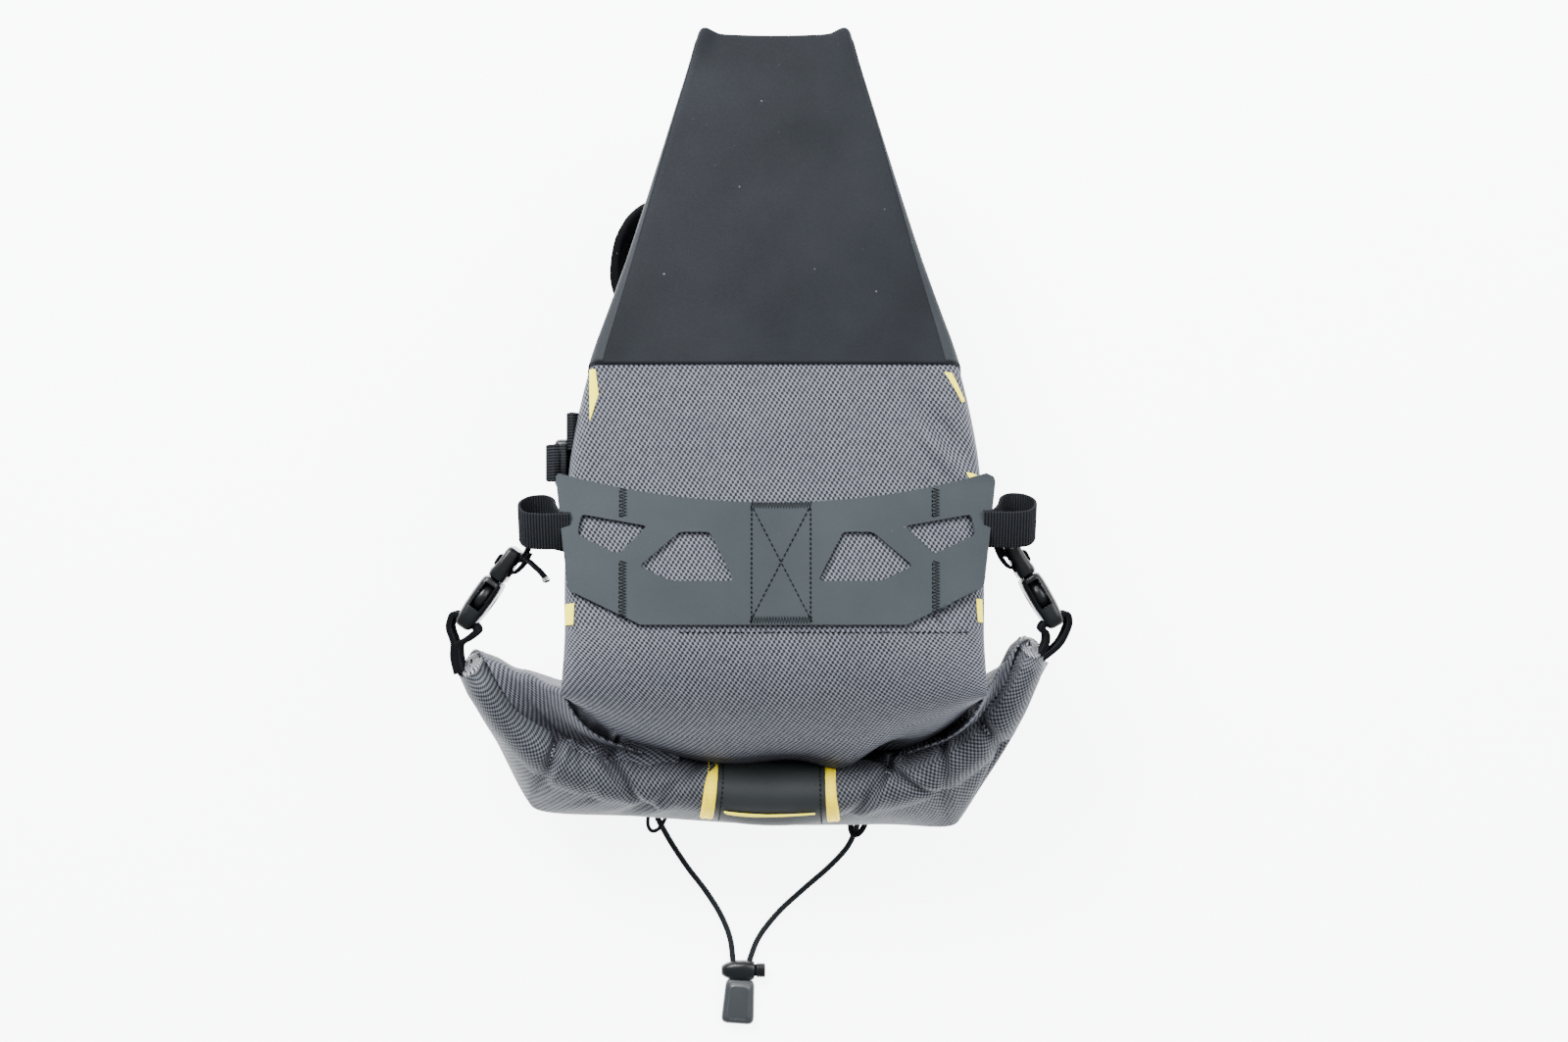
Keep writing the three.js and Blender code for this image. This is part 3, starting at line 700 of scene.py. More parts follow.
def make_shell():
    work = bmesh.new()
    layer = work.loops.layers.uv.new("cloth")
    for index, places in enumerate(shell_grids()):
        uvs = sheet_uvs(places) if index in (0, 3) else flat_uvs(places)
        corners = [[work.verts.new(metres(p)) for p in row] for row in places]
        for j in range(len(places) - 1):
            for i in range(len(places[0]) - 1):
                spots = ((j, i), (j, i + 1), (j + 1, i + 1), (j + 1, i))
                face = work.faces.new([corners[a][b] for a, b in spots])
                for loop, (a, b) in zip(face.loops, spots):
                    loop[layer].uv = (uvs[a][b][0] * MM, uvs[a][b][1] * MM)
    bmesh.ops.remove_doubles(work, verts=work.verts, dist=2e-6)
    bmesh.ops.recalc_face_normals(work, faces=work.faces)
    mesh = bpy.data.meshes.new("bag_shell")
    work.to_mesh(mesh)
    work.free()
    piece = dress(bpy.data.objects.new("bag_shell", mesh), LOOK["weave"])
    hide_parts("underside_panel", "side_panel_left", "side_panel_right", "top_panel", "rear_panel")
    return piece


PANEL_LIFT = 0.9
RIM_LIFT = 0.2


def make_reinforcement():
    """The coated front panel: it covers the nose end of the underside and wraps over both long edges."""
    wrap = 0.06

    def point_at(u, v):
        s = lerp(REINFORCED_TO, 0, v)
        reach = lerp(-1 - wrap, 1 + wrap, u)
        side = clamp(reach, -1, 1)
        over = abs(reach) - 1
        if over > 0:
            place = side_place(math.copysign(1, reach), s, 1 - over)
            place.x += math.copysign(PANEL_LIFT, reach)
        else:
            place = underside_place(side, s)
            place.x += side ** 9 * PANEL_LIFT
            place.z += PANEL_LIFT * smooth((1 - abs(side)) * 12)
        return place

    piece = grid_sheet("front_reinforcement", point_at, 110, 100, LOOK["coated"], thickness=0.8)
    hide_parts("underside_reinforcement")
    for sign in (-1, 1):
        make_rim(sign)


def make_rim(sign):
    """A paler band, a painted highlight, where the coated panel folds down over one long edge."""
    def point_at(u, v):
        s = lerp(REINFORCED_TO - 0.004, 0.012, v)
        reach = lerp(0.975 - 0.055 * (1 - v) ** 2, 1.02, u)
        if reach > 1:
            place = side_place(sign, s, 2 - reach)
            place.x += sign * (PANEL_LIFT + 0.25)
        else:
            place = underside_place(sign * reach, s)
            place.x += sign * (reach ** 9 * PANEL_LIFT + 0.15)
            place.z += PANEL_LIFT * smooth((1 - reach) * 12) + RIM_LIFT
        return place

    name = "rim_left" if sign < 0 else "rim_right"
    piece = grid_sheet(name, point_at, 14, 100, LOOK["coated_edge_painted_highlight"], thickness=0.2)
    face_outward(piece)


# ---- nose ----
PAD_RIBS = 24


def make_nose():
    """A coated panel over the nose face, and the grippy pad that sits against the seatpost."""
    outward = Vector((0, NOSE_Z - TOP_Z, TOP_FRONT_Y - NOSE_Y)).normalized()

    def panel(u, v):
        edge = min(u, 1 - u, v, 1 - v)
        return shell_place(lerp(0.97, -0.97, u), 0, lerp(0.02, 0.98, v)) + outward * (0.2 + smooth(edge * 14))

    piece = grid_sheet("nose_face", panel, 40, 40, LOOK["coated"], thickness=0.8)
    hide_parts("nose_panel")

    def pad(u, v):
        side, b = lerp(0.62, -0.62, u), lerp(0.41, 0.93, v)
        edge = min(u, 1 - u, v, 1 - v)
        ribs = 0.35 * math.cos(2 * math.pi * v * PAD_RIBS) * smooth(edge * 12)
        return shell_place(side, 0, b) + outward * (0.6 + 2.6 * smooth(edge * 10) + ribs)

    piece = grid_sheet("grip_pad", pad, 40, 120, LOOK["patch"], thickness=0.6)
    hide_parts("seatpost_grip_pad")


# ---- rolled closure ----
ROLL_HALF_THICK, ROLL_HALF_TALL = 14.5, 23
ROLL_TURNS = 4
ROLL_LAYER = 3.0
ROLL = Spline([
    (-162, -119, 98), (-141, -150, 88), (-115, -172, 78), (-68, -184.5, 72), (0, -191, 68), (64, -186, 71),
    (104, -165, 80), (128, -132, 92), (137, -110, 98),
])
WRAP_EDGE = Spline([
    (-175, -123, 66), (-156, -159, 61), (-137, -197, 56.5), (-132, -202.5, 56),
    (-75, -207, 53), (0, -212, 50), (62, -211.5, 52), (98.5, -211.5, 55), (103, -207, 56), (127, -163, 61),
    (150, -121, 66),
])
UP = Vector((0, 0, 1))


def roll_axes(t):
    tangent = ROLL.tangent(t)
    across = tangent.cross(UP).normalized()
    return tangent, across, across.cross(tangent)


# Folds across the roll: where each starts, how much it slants, its depth and its width.
ROLL_FOLDS = [
    (0.215, 0.012, 6.5, 0.011), (0.335, 0.035, 6.0, 0.010), (0.398, -0.020, 3.0, 0.007),
    (0.280, 0.020, 2.4, 0.011), (0.605, -0.030, 5.0, 0.008), (0.655, 0.030, 4.2, 0.008),
    (0.715, -0.020, 3.4, 0.009), (0.805, -0.012, 6.0, 0.012),
]


def fold_depth(t, angle):
    depth = 0.0
    for start, slant, deep, wide in ROLL_FOLDS:
        away = (t - start - slant * angle) / wide
        depth += deep * (bell(away) - 0.35 * bell(away - 2))
    return depth


def roll_surface(t, angle, depth=0.0):
    """A point of the roll: angle 0 is on top and 90 degrees faces out, away from the bag."""
    _tangent, across, upright = roll_axes(t)
    end = min(t, 1 - t)
    round_end = 1 - 0.2 * (1 - smooth(end * 26))
    slim = lerp(0.62, 1, smooth(end / 0.27))
    upper = 0.5 + 0.5 * math.cos(angle + 0.5)
    soft = 1.5 * noise_at((t * 330, angle * 14, 0), 24, 2.0) - fold_depth(t, angle) * upper
    thick = (ROLL_HALF_THICK * slim - depth * slim + soft * 0.8) * round_end
    tall = (ROLL_HALF_TALL - depth + soft) * round_end
    return ROLL.at(t) + across * math.sin(angle) * thick + upright * math.cos(angle) * tall


def make_roll():
    """The rolled mouth: one sheet wound inwards, its layers open to see at both ends."""
    def winding(u, v):
        # The outermost layer starts low on the bag's side of the roll.
        angle = math.radians(-150) + u * ROLL_TURNS * 2 * math.pi
        return roll_surface(v, angle, 0.7 + u * (ROLL_TURNS * ROLL_LAYER - 0.7))

    piece = grid_sheet("rolled_mouth", winding, 190, 150, LOOK["roll"], thickness=1.3)
    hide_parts("closure_roll")
    strip = grid_sheet("hem_stiffener", roll_strip_place, 4, 80, LOOK["sheet"], thickness=1.2)
    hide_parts("closure_stiffener")


def roll_strip_place(u, v):
    t = lerp(0.01, 0.99, v)
    _tangent, _across, upright = roll_axes(t)
    return ROLL.at(t) + upright * lerp(-9.5, 9.5, u)


WRAP_TO_EDGE, WRAP_TO_ROLL = 0.42, 0.6
WRAP_FROM_ANGLE, WRAP_TO_ANGLE = 60, -128
WRAP_OUTSIDE = -1.3


def wrap_place(u, v):
    """The outer layer: from the bag's base out to a sharp edge, then up and once over the roll."""
    edge = WRAP_EDGE.at(u)
    t = clamp(u, 0.003, 0.997)
    if v < WRAP_TO_EDGE:
        w = v / WRAP_TO_EDGE
        foot = Vector((lerp(-99, 99, u), TOP_REAR_Y - 3.5, TOP_Z))
        belly = math.sin(math.pi * w) * 8
        place = foot.lerp(edge, w) + Vector((0, -belly * 0.4, -belly * 0.5))
        place.z += 1.2 * noise_at(place, 40, 5.0) * math.sin(math.pi * w)
        return place
    if v > WRAP_TO_ROLL:
        w = (v - WRAP_TO_ROLL) / (1 - WRAP_TO_ROLL)
        return roll_surface(t, math.radians(lerp(WRAP_FROM_ANGLE, WRAP_TO_ANGLE, w)), WRAP_OUTSIDE)
    w = (v - WRAP_TO_EDGE) / (WRAP_TO_ROLL - WRAP_TO_EDGE)
    high = roll_surface(t, math.radians(WRAP_FROM_ANGLE), WRAP_OUTSIDE)
    place = edge.lerp(high, w) + Vector((0, -0.8, 1.2)) * math.sin(math.pi * w)
    pleat = smooth((u - 0.68) * 9) * smooth((0.9 - u) * 12)
    ripple = math.sin(u * 70 + 2 * math.sin(u * 21))
    return place + Vector((0, -0.6, 0.8)) * ripple * (0.25 + 1.1 * pleat) * math.sin(math.pi * w)


def make_wrap():
    """The outer layer with a gusset at either end, and the cloth drawn over to the roll."""
    piece = grid_sheet("roll_outer_layer", wrap_place, 240, 150, LOOK["lining"], thickness=1.1)
    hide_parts("closure_wrap")
    for side in (-1, 1):
        make_ear(side)
    make_drawn_fold()


def make_drawn_fold():
    """Left of the middle the shell's cloth is drawn straight over to the roll, in one shallow fold."""
    def point_at(u, v):
        side, t = lerp(-0.97, -0.40, v), lerp(0.215, 0.40, v)
        start = rolled_over(side, 0.40)
        leave = (rolled_over(side, 0.42) - rolled_over(side, 0.38)).normalized()
        behind, end, ahead = [roll_surface(t, math.radians(angle), -1.9) for angle in (-48, -38, -28)]
        arrive = (ahead - behind).normalized()
        reach = (end - start).length
        place = hermite(start, leave * reach, end, arrive * reach * 0.8, u)
        place.z += 0.8 * math.sin(math.pi * u) + 0.5 * noise_at(place, 16, 3.0)
        place.z -= 0.9 * (1 - smooth(u * 8)) + 4 * (1 - smooth(v * 7)) + 4 * (1 - smooth((1 - v) * 5))
        return place

    piece = grid_sheet("drawn_fold", point_at, 50, 70, LOOK["weave"], thickness=0.8)


EAR_AT_BODY = [
    (-98, -139, 8), (-108, -138, 66), (-109.5, -133, 131), (-103, -146, 126),
    (-92, -158, 108), (-70, -168, 92),
]
EAR_AT_LEFT_ARM = [
    (-170, -121, 66), (-162, -113, 84), (-152, -118, 112), (-141, -137, 110),
    (-124, -158, 96), (-92, -172, 88),
]
EAR_AT_RIGHT_ARM = [
    (-146, -119, 66), (-139, -108, 84), (-128, -110, 112), (-121, -131, 110),
    (-108, -154, 98), (-84, -170, 88),
]


def make_ear(side):
    """The gusset that runs from the shell's rear corner to the roll's arm, folded over at its front."""
    body, arm = Spline(EAR_AT_BODY), Spline(EAR_AT_LEFT_ARM if side < 0 else EAR_AT_RIGHT_ARM)

    def point_at(u, v):
        place = body.at(v).lerp(arm.at(v), u)
        place.z -= 6 * math.sin(math.pi * u) * (0.4 + 0.6 * v)
        place += Vector((0, 1, 0.3)) * 0.9 * math.sin(u * 16 + 4 * v) * math.sin(math.pi * u)
        place.x *= -side
        return place

    name = "gusset_left" if side < 0 else "gusset_right"
    piece = grid_sheet(name, point_at, 50, 60, LOOK["weave"], thickness=1.0, lift=0.5)


# ---- grip patch on the roll ----
PATCH_FROM, PATCH_TO = 0.4405, 0.5535
PATCH_LOW, PATCH_HIGH = math.radians(-98), math.radians(100)


def roll_surface_plain(t, angle, depth):
    """A point of the roll without its folds; a negative depth lies outside it."""
    _tangent, across, upright = roll_axes(t)
    place = ROLL.at(t) + across * math.sin(angle) * (ROLL_HALF_THICK - depth)
    return place + upright * math.cos(angle) * (ROLL_HALF_TALL - depth)


def make_patch():
    def rubber(u, v):
        t = lerp(PATCH_FROM, PATCH_TO, v)
        angle = lerp(PATCH_LOW, PATCH_HIGH, u)
        edge = min(u, 1 - u, v * 0.6, (1 - v) * 0.6)
        swell = 1.6 * math.sin(math.pi * v) * smooth((u - 0.70) * 7)
        return roll_surface_plain(t, angle, -(1.9 + 0.7 * smooth(edge * 26) + swell))

    piece = grid_sheet("grip_patch_face", rubber, 90, 90, LOOK["patch"], thickness=1.4)
    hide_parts("grip_patch")
    make_patch_edge("left", 0.4425, 0.4285)
    make_patch_edge("right", 0.5515, 0.5655)
    seams = Parts()
    for t in (PATCH_FROM + 0.006, PATCH_TO - 0.006):
        seams.add_seam(patch_line(t, -2.75, 1), 2.7, 1.7, 0.38)
    seams.object("patch_stitches", LOOK["thread"])
    make_crescent()


def patch_line(t, depth, margin):
    """Points over the roll along the patch, from one of its long edges to the other."""
    steps = range(margin, 41 - margin)
    return [roll_surface_plain(t, lerp(PATCH_LOW, PATCH_HIGH, k / 40), depth) for k in steps]


def make_patch_edge(side, inner, outer):
    """A bright strip sewn along the patch's end, its own ends rounded."""
    def point_at(u, v):
        share = 2 * u - 1
        rounding = 1 - max(0.0, (abs(share) - 0.88) / 0.12) ** 2
        reach = lerp(inner, outer, v * math.sqrt(max(0.02, rounding)))
        edge = min(u * 2, 2 - 2 * u, v, 1 - v)
        return roll_surface_plain(reach, lerp(PATCH_LOW, PATCH_HIGH, u), -(1.3 + 0.9 * smooth(edge * 6)))

    piece = grid_sheet(f"patch_edge_{side}", point_at, 80, 14, LOOK["yellow"], thickness=1.1)
    face_outward(piece)
    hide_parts(f"grip_edge_{side}")
    seam = Parts()
    for share in (0.3, 0.78):
        seam.add_seam(patch_line(lerp(inner, outer, share), -2.5, 2), 2.6, 1.6, 0.32)
    seam.object(f"patch_edge_{side}_stitches", LOOK["yellow"])


def make_crescent():
    """A thin bright lip along the patch's outer edge, widest at its left."""
    def point_at(u, v):
        t = lerp(PATCH_FROM + 0.010, PATCH_TO - 0.012, u)
        width = 0.13 * math.sin(math.pi * u ** 0.5) * (1 - 0.6 * u)
        angle = math.radians(33) + 0.05 * math.sin(math.pi * u) + width * v
        return roll_surface_plain(t, angle, -(3.0 + 0.6 * math.sin(math.pi * v)))

    piece = grid_sheet("patch_crescent", point_at, 60, 6, LOOK["pale_yellow"], thickness=0.4)


# ---- cutting and joining ----
def cut(piece, cutters):
    """Take the cutters' shapes out of a piece, for good."""
    for cutter in cutters:
        add_modifier(piece, "BOOLEAN", operation="DIFFERENCE", solver="EXACT", object=cutter)
        cutter.hide_render = True
    apply_modifiers(piece)
    for cutter in cutters:
        bpy.data.objects.remove(cutter)
    piece.data.set_sharp_from_angle(angle=math.radians(38))


def prism(outline, low, high):
    """An upright prism over an outline in millimetres, used as a cutter."""
    mesh = bpy.data.meshes.new("cutter")
    mesh.from_pydata([metres((x, y, z)) for z in (low, high) for x, y in outline], [], skin(2, len(outline)))
    cutter = bpy.data.objects.new("cutter", mesh)
    bpy.context.scene.collection.objects.link(cutter)
    face_outward(cutter)
    return cutter


def rounded_outline(points, radius, steps=5):
    """A closed outline whose corners are rounded by short curves."""
    outline = []
    count = len(points)
    for index in range(count):
        corner = Vector(points[index])
        before = (Vector(points[index - 1]) - corner).normalized() * radius
        after = (Vector(points[(index + 1) % count]) - corner).normalized() * radius
        for k in range(steps + 1):
            t = k / steps
            place = corner + before * (1 - t) ** 2 + after * t ** 2
            outline.append((place.x, place.y))
    return outline


# ---- wing ----
WING_WINDOWS = (
    [(100, -40), (66, -46), (81, -60.5), (102, -50.5)],
    [(34, -49), (49.5, -49), (70, -66.5), (54, -74), (21.5, -74)],
)


def share_of_length(y):
    """s of the shell at a place along the underside."""
    return (NOSE_Y - y) / (NOSE_Y - REAR_Y)


def wing_height(x, y, lift=2.6):
    """The top of the wing: it lies on the cloth and stands straight out past the soft edges."""
    s = min(share_of_length(y), ROLL_OVER_FROM)
    side = clamp(x / underside_half_width(s), -0.84, 0.84)
    past = max(0.0, abs(x) - 92)
    wave = 0.35 * noise_at((x, y, 0), 30, 9.0)
    return underside_place(side, s).z + lift + wave - 0.0045 * past ** 2


def wing_place(u, v):
    share = 2 * u - 1
    upper = -34 + 15 * share ** 2
    lower = -96.5 + 17 * clamp((abs(share) - 0.66) / 0.34)
    radius = 5.0 if share > 0 else 2.0
    edge = min(v, 1 - v) * (upper - lower)
    rounding = radius - math.sqrt(max(0.0, radius ** 2 - max(0.0, radius - edge) ** 2))
    half = lerp(106.5, 113.5, v) - rounding
    x, y = share * half + 0.8, lerp(lower, upper, v)
    return Vector((x, y, wing_height(x, y)))


def make_wing():
    piece = grid_sheet("wing_band", wing_place, 130, 44, LOOK["wing"], thickness=1.6)
    cutters = []
    for side in (-1, 1):
        for window in WING_WINDOWS:
            outline = rounded_outline([(1 + side * x, y) for x, y in window], 2.4)
            cutters.append(prism(outline, 120, 170))
    cut(piece, cutters)
    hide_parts("wing")
    make_wing_stitching()


BOX_LEFT, BOX_RIGHT, BOX_TOP, BOX_FOOT = -11.6, 18.6, -35.5, -93.5
STITCH_LIFT = 2.85


def along_wing(start, end, count=24):
    start, end = Vector((*start, 0)), Vector((*end, 0))
    places = [start.lerp(end, i / count) for i in range(count + 1)]
    return [Vector((p.x, p.y, wing_height(p.x, p.y, STITCH_LIFT))) for p in places]




def make_wing_stitching():
    """A crossed box in the middle with dense bars, and two pairs of bar tacks near the wing's ends."""
    seams = Parts()
    for x in (BOX_LEFT, BOX_RIGHT):
        seams.add_seam(along_wing((x, BOX_TOP), (x, BOX_FOOT)), 2.5, 1.7, 0.42)
    seams.add_seam(along_wing((BOX_LEFT, BOX_TOP), (BOX_RIGHT, BOX_FOOT)), 2.9, 2.1, 0.34)
    seams.add_seam(along_wing((BOX_RIGHT, BOX_TOP), (BOX_LEFT, BOX_FOOT)), 2.9, 2.1, 0.34)
    sideways, lengthways = Vector((1, 0, 0)), Vector((0, 1, 0))
    for y in (BOX_TOP + 0.5, BOX_FOOT - 0.5):
        bar = along_wing((BOX_LEFT - 0.6, y), (BOX_RIGHT + 0.6, y), 60)
        seams.add_zigzag(bar, 3.6, 0.75, lengthways, 0.33)
    for x in (-77.3, 82.9):
        for top, foot in ((-26.4, -41.5), (-63.6, -93.2)):
            seams.add_zigzag(along_wing((x, top), (x, foot), 60), 3.2, 0.8, sideways, 0.33)
            seams.add_seam(along_wing((x - 1.9, top), (x - 1.9, foot)), 2.4, 1.6, 0.32)
    seams.object("wing_stitches", LOOK["thread"])
    row = Parts()
    places = [Vector((x, -100.4, 0)) for x in range(-50, 99, 2)]
    for place in places:
        s = share_of_length(place.y)
        place.z = underside_place(place.x / underside_half_width(s), s).z + 0.3
    row.add_seam(places, 3.1, 1.9, 0.38)
    row.object("seam_behind_wing", LOOK["thread"])


# ---- small prints ----
def on_cloth(x, y, lift=0.3):
    """A point just over the soft underside, from its place in plan."""
    s = share_of_length(y)
    half = abs(shell_place(1, s, top_share(s)).x)
    place = underside_place(clamp(x / half, -0.9995, 0.9995), s)
    place.z += lift
    place.x += math.copysign(lift, x)
    return place


PRINTS = {
    "print_left_front": [(-95.5, 36), (-92.2, 35), (-90.4, 22), (-95.0, 8)],
    "print_right_front": [(87.5, 33.5), (91.5, 33.0), (98.5, 20), (96.8, 18.5)],
    "print_right_wing": [(98.5, -18.2), (104.5, -18.2), (104.5, -22.5), (101.0, -22.5)],
    "print_left_rear": [(-107.5, -85.5), (-102.4, -85.5), (-102.8, -96.5), (-107.8, -96.5)],
    "print_right_rear": [(103.4, -83), (106.8, -83), (107.2, -95), (104.4, -95)],
}


def make_prints():
    for name, corners in PRINTS.items():
        a, b, c, d = [Vector(corner) for corner in corners]

        def point_at(u, v, a=a, b=b, c=c, d=d):
            flat = a.lerp(b, u).lerp(d.lerp(c, u), v)
            return on_cloth(flat.x, flat.y)

        piece = grid_sheet(name, point_at, 16, 20, LOOK["pale_yellow"], thickness=0.15)
        face_outward(piece)


# ---- webbing ----
def ribbon(name, places, width_axis, width, thick, material, body="root", ribs_along=False):
    """A strip of webbing with rounded edges, swept along a line of points."""
    half, rim = width / 2, thick / 2
    upper = [
        (-half, 0), (-half + 0.25, rim * 0.8), (-half + 0.8, rim), (0, rim), (half - 0.8, rim),
        (half - 0.25, rim * 0.8),
    ]
    section = upper + [(-across, -up) for across, up in upper]
    vertices, uvs = [], []
    run = 0.0
    for k, place in enumerate(places):
        before, after = places[max(0, k - 1)], places[min(len(places) - 1, k + 1)]
        tangent = (after - before).normalized()
        axis = (width_axis - tangent * width_axis.dot(tangent)).normalized()
        normal = tangent.cross(axis)
        run += (place - before).length
        for across, up in section:
            vertices.append(place + axis * across + normal * up)
            uvs.append((run, across) if ribs_along else (across, run))
    faces = skin(len(places), len(section))
    piece = build(name, vertices, faces, material, uvs, body)
    face_outward(piece)
    return piece


# One loop from its sewn end under the wing, round and back: x away from the bag, y down.
TAIL_LOOP_PROFILE = [
    (-18, -12.9), (-10, -13.1), (-3, -13.2), (5, -11.2), (9, -4), (9.2, 5), (4.4, 12), (-2.6, 13),
    (-7.2, 8), (-9, 0), (-11.4, -7), (-14, -10.6), (-18, -11.2),
]
TAIL_LOOPS = {"left": Vector((-122.5, -44, 130)), "right": Vector((125.5, -43, 130))}


def make_tail_loops():
    """Rings of webbing sewn to the wing's ends, seen nearly end on."""
    tilt = math.radians(22 - 90)
    axis = Vector((0, -math.sin(tilt), math.cos(tilt)))
    down = Vector((0, math.cos(tilt), math.sin(tilt)))
    for side, centre in TAIL_LOOPS.items():
        sign = -1 if side == "left" else 1
        curve = Spline([(x * sign, y, 0) for x, y in TAIL_LOOP_PROFILE])
        places = [centre + Vector((p.x, 0, 0)) + down * p.y for p in curve.places(96)]
        piece = ribbon(f"tail_webbing_{side}", places, axis, 20, 1.7, LOOK["webbing"], ribs_along=True)
        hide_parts(f"tail_loop_{side}")


def make_inner_sheet():
    """The plastic sheet inside that keeps the underside flat."""
    def point_at(u, v):
        place = underside_place(lerp(-0.82, 0.82, u), lerp(0.88, 0.06, v))
        return place - Vector((0, 0, 4.2))

    piece = grid_sheet("inner_sheet", point_at, 30, 60, LOOK["sheet"], thickness=1.4)
    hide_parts("underside_stiffener")


# ---- side-release buckles ----
class Frame:
    """A buckle's own axes: x from the housing's bar to the plug's end, y across, z through it."""

    def __init__(self, origin, along, across):
        self.origin = Vector(origin)
        self.along = Vector(along).normalized()
        self.across = Vector(across)
        self.through = self.along.cross(self.across)

    def place(self, x, y, z):
        return self.origin + self.along * x + self.across * y + self.through * z


BUCKLES = {
    "left_closure": Frame((-166, -99.5, 97), (27.9, 39.6, 0), (0, 0, 1)),
    "right_closure": Frame((150, -99, 97), (-24, 41.5, 0), (0, 0, 1)),
    "left_rail": Frame((-111.5, -13, 112), (0, 0, -1), (0, -1, 0)),
    "right_rail": Frame((89.5, 18, 35), (12.6, -50, 0), (0, 0, 1)),
}
HOUSING_STATIONS = [
    (0, 10.6, 3.2), (0.6, 11.7, 4.3), (2, 12.5, 5.0), (7, 12.9, 5.6), (12, 12.4, 6.1), (20, 12.4, 6.3),
    (26, 12.9, 6.1), (29.2, 12.7, 5.6), (30, 12.1, 4.8),
]
PLUG_STATIONS = [
    (31, 11.2, 3.9), (31.6, 12.1, 4.9), (34, 12.5, 5.2), (40, 12.4, 4.3), (46.8, 12.2, 4.2), (49, 11.6, 3.9),
    (50, 10.4, 3.0),
]


def squircle(angle, power):
    """The point of a unit square with rounded corners at an angle; a higher power has tighter corners."""
    c, n = math.cos(angle), math.sin(angle)
    reach = (abs(c) ** power + abs(n) ** power) ** (-1 / power)
    return c * reach, n * reach


def lofted(stations, power=5.0, sides=40):
    """A closed body through sections at x, each a rounded rectangle of half width and half thickness."""
    ring = [squircle(2 * math.pi * (i + 0.5) / sides, power) for i in range(sides)]
    vertices = [(x, c * wide, n * thick) for x, wide, thick in stations for c, n in ring]
    return vertices, skin(len(stations), sides)


def box_shape(low, high):
    vertices = [(x, y, z) for x in (low[0], high[0]) for y in (low[1], high[1]) for z in (low[2], high[2])]
    faces = [(0, 1, 3, 2), (4, 6, 7, 5), (0, 4, 5, 1), (2, 3, 7, 6), (0, 2, 6, 4), (1, 5, 7, 3)]
    return vertices, faces


def oval_shape(x, half_x, half_y, low, high, sides=28):
    angles = [2 * math.pi * i / sides for i in range(sides)]
    vertices = [(x + half_x * math.cos(a), half_y * math.sin(a), z) for z in (low, high) for a in angles]
    return vertices, skin(2, sides)


PRONG_STEPS, PRONG_SIDES, PRONG_HALF_THICK = 18, 12, 2.95


def prong_shape(side):
    """A springy arm with a thumb pad: from its root on the plug to the tip inside the housing."""
    outer = Spline([
        (30.6, 7.3, 0), (26.5, 8.2, 0), (24, 10.2, 0), (20, 11.6, 0), (15.8, 11.2, 0), (12.6, 8.8, 0),
    ])
    inner = Spline([(30.6, 4.5, 0), (24, 5.4, 0), (19, 6.6, 0), (12.4, 5.7, 0)])
    vertices = []
    for far, near in zip(outer.places(PRONG_STEPS), inner.places(PRONG_STEPS)):
        middle, reach = (far + near) / 2, (far - near) / 2
        for i in range(PRONG_SIDES):
            c, n = squircle(2 * math.pi * (i + 0.5) / PRONG_SIDES, 4)
            spot = middle + reach * c
            vertices.append((spot.x, side * spot.y, n * PRONG_HALF_THICK))
    return vertices, skin(PRONG_STEPS + 1, PRONG_SIDES)


def local_object(name, shape, at, body="root"):
    """A plastic body from a shape given in a buckle's own axes."""
    vertices, faces = shape
    piece = build(name, [at.place(*v) for v in vertices], faces, LOOK["plastic"], body=body)
    face_outward(piece)
    return piece


# INSIDE and INSIDE_THICK are half sizes of the housing's hollow; a hole from -OPEN to OPEN goes through.
INSIDE, INSIDE_THICK, OPEN = 10.3, 3.25, 9
HOUSING_HOLES = [
    box_shape((8, -INSIDE, -INSIDE_THICK), (31, INSIDE, INSIDE_THICK)),
    box_shape((2.6, -INSIDE - 0.1, -OPEN), (6.2, INSIDE + 0.1, OPEN)),
    box_shape((12, -16, -INSIDE_THICK), (27.5, 16, INSIDE_THICK)),
    oval_shape(18.5, 5.4, 3.6, -OPEN, OPEN),
]
PLUG_HOLES = [box_shape((x, -INSIDE, -OPEN), (x + 3.6, INSIDE, OPEN)) for x in (35.4, 42.4)]
BUCKLE_WEB = 19.6
TONGUE_STATIONS = [(14, 1.1, 1.3), (15, 1.8, 1.9), (31.5, 1.8, 2)]


def make_buckle(prefix, strap, tab):
    at = BUCKLES[prefix]
    plug_body = f"{prefix}_plug"
    housing = local_object(f"{prefix}_housing_shell", lofted(HOUSING_STATIONS), at)
    cut(housing, [local_object("cutter", shape, at) for shape in HOUSING_HOLES])
    bevel(housing, 0.35, 2, 50)
    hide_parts(f"{prefix}_buckle_housing")
    plug = local_object(f"{prefix}_plug_base", lofted(PLUG_STATIONS), at, body=plug_body)
    cut(plug, [local_object("cutter", shape, at) for shape in PLUG_HOLES])
    bevel(plug, 0.35, 2, 50)
    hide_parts(f"{prefix}_buckle_plug")
    tongue = local_object(f"{prefix}_tongue", lofted(TONGUE_STATIONS, 4, 16), at, body=plug_body)
    for letter, side in (("a", 1), ("b", -1)):
        prong_body = f"{prefix}_prong_{letter}_body"
        prong = local_object(f"{prefix}_prong_arm_{letter}", prong_shape(side), at, body=prong_body)
        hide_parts(f"{prefix}_prong_{letter}")
    make_tab(prefix, at, tab)
    make_strap(prefix, at, strap)


def local_line(at, points, steps):
    curve = Spline([(x, 0, z) for x, z in points])
    return [at.place(*p) for p in curve.places(steps)]


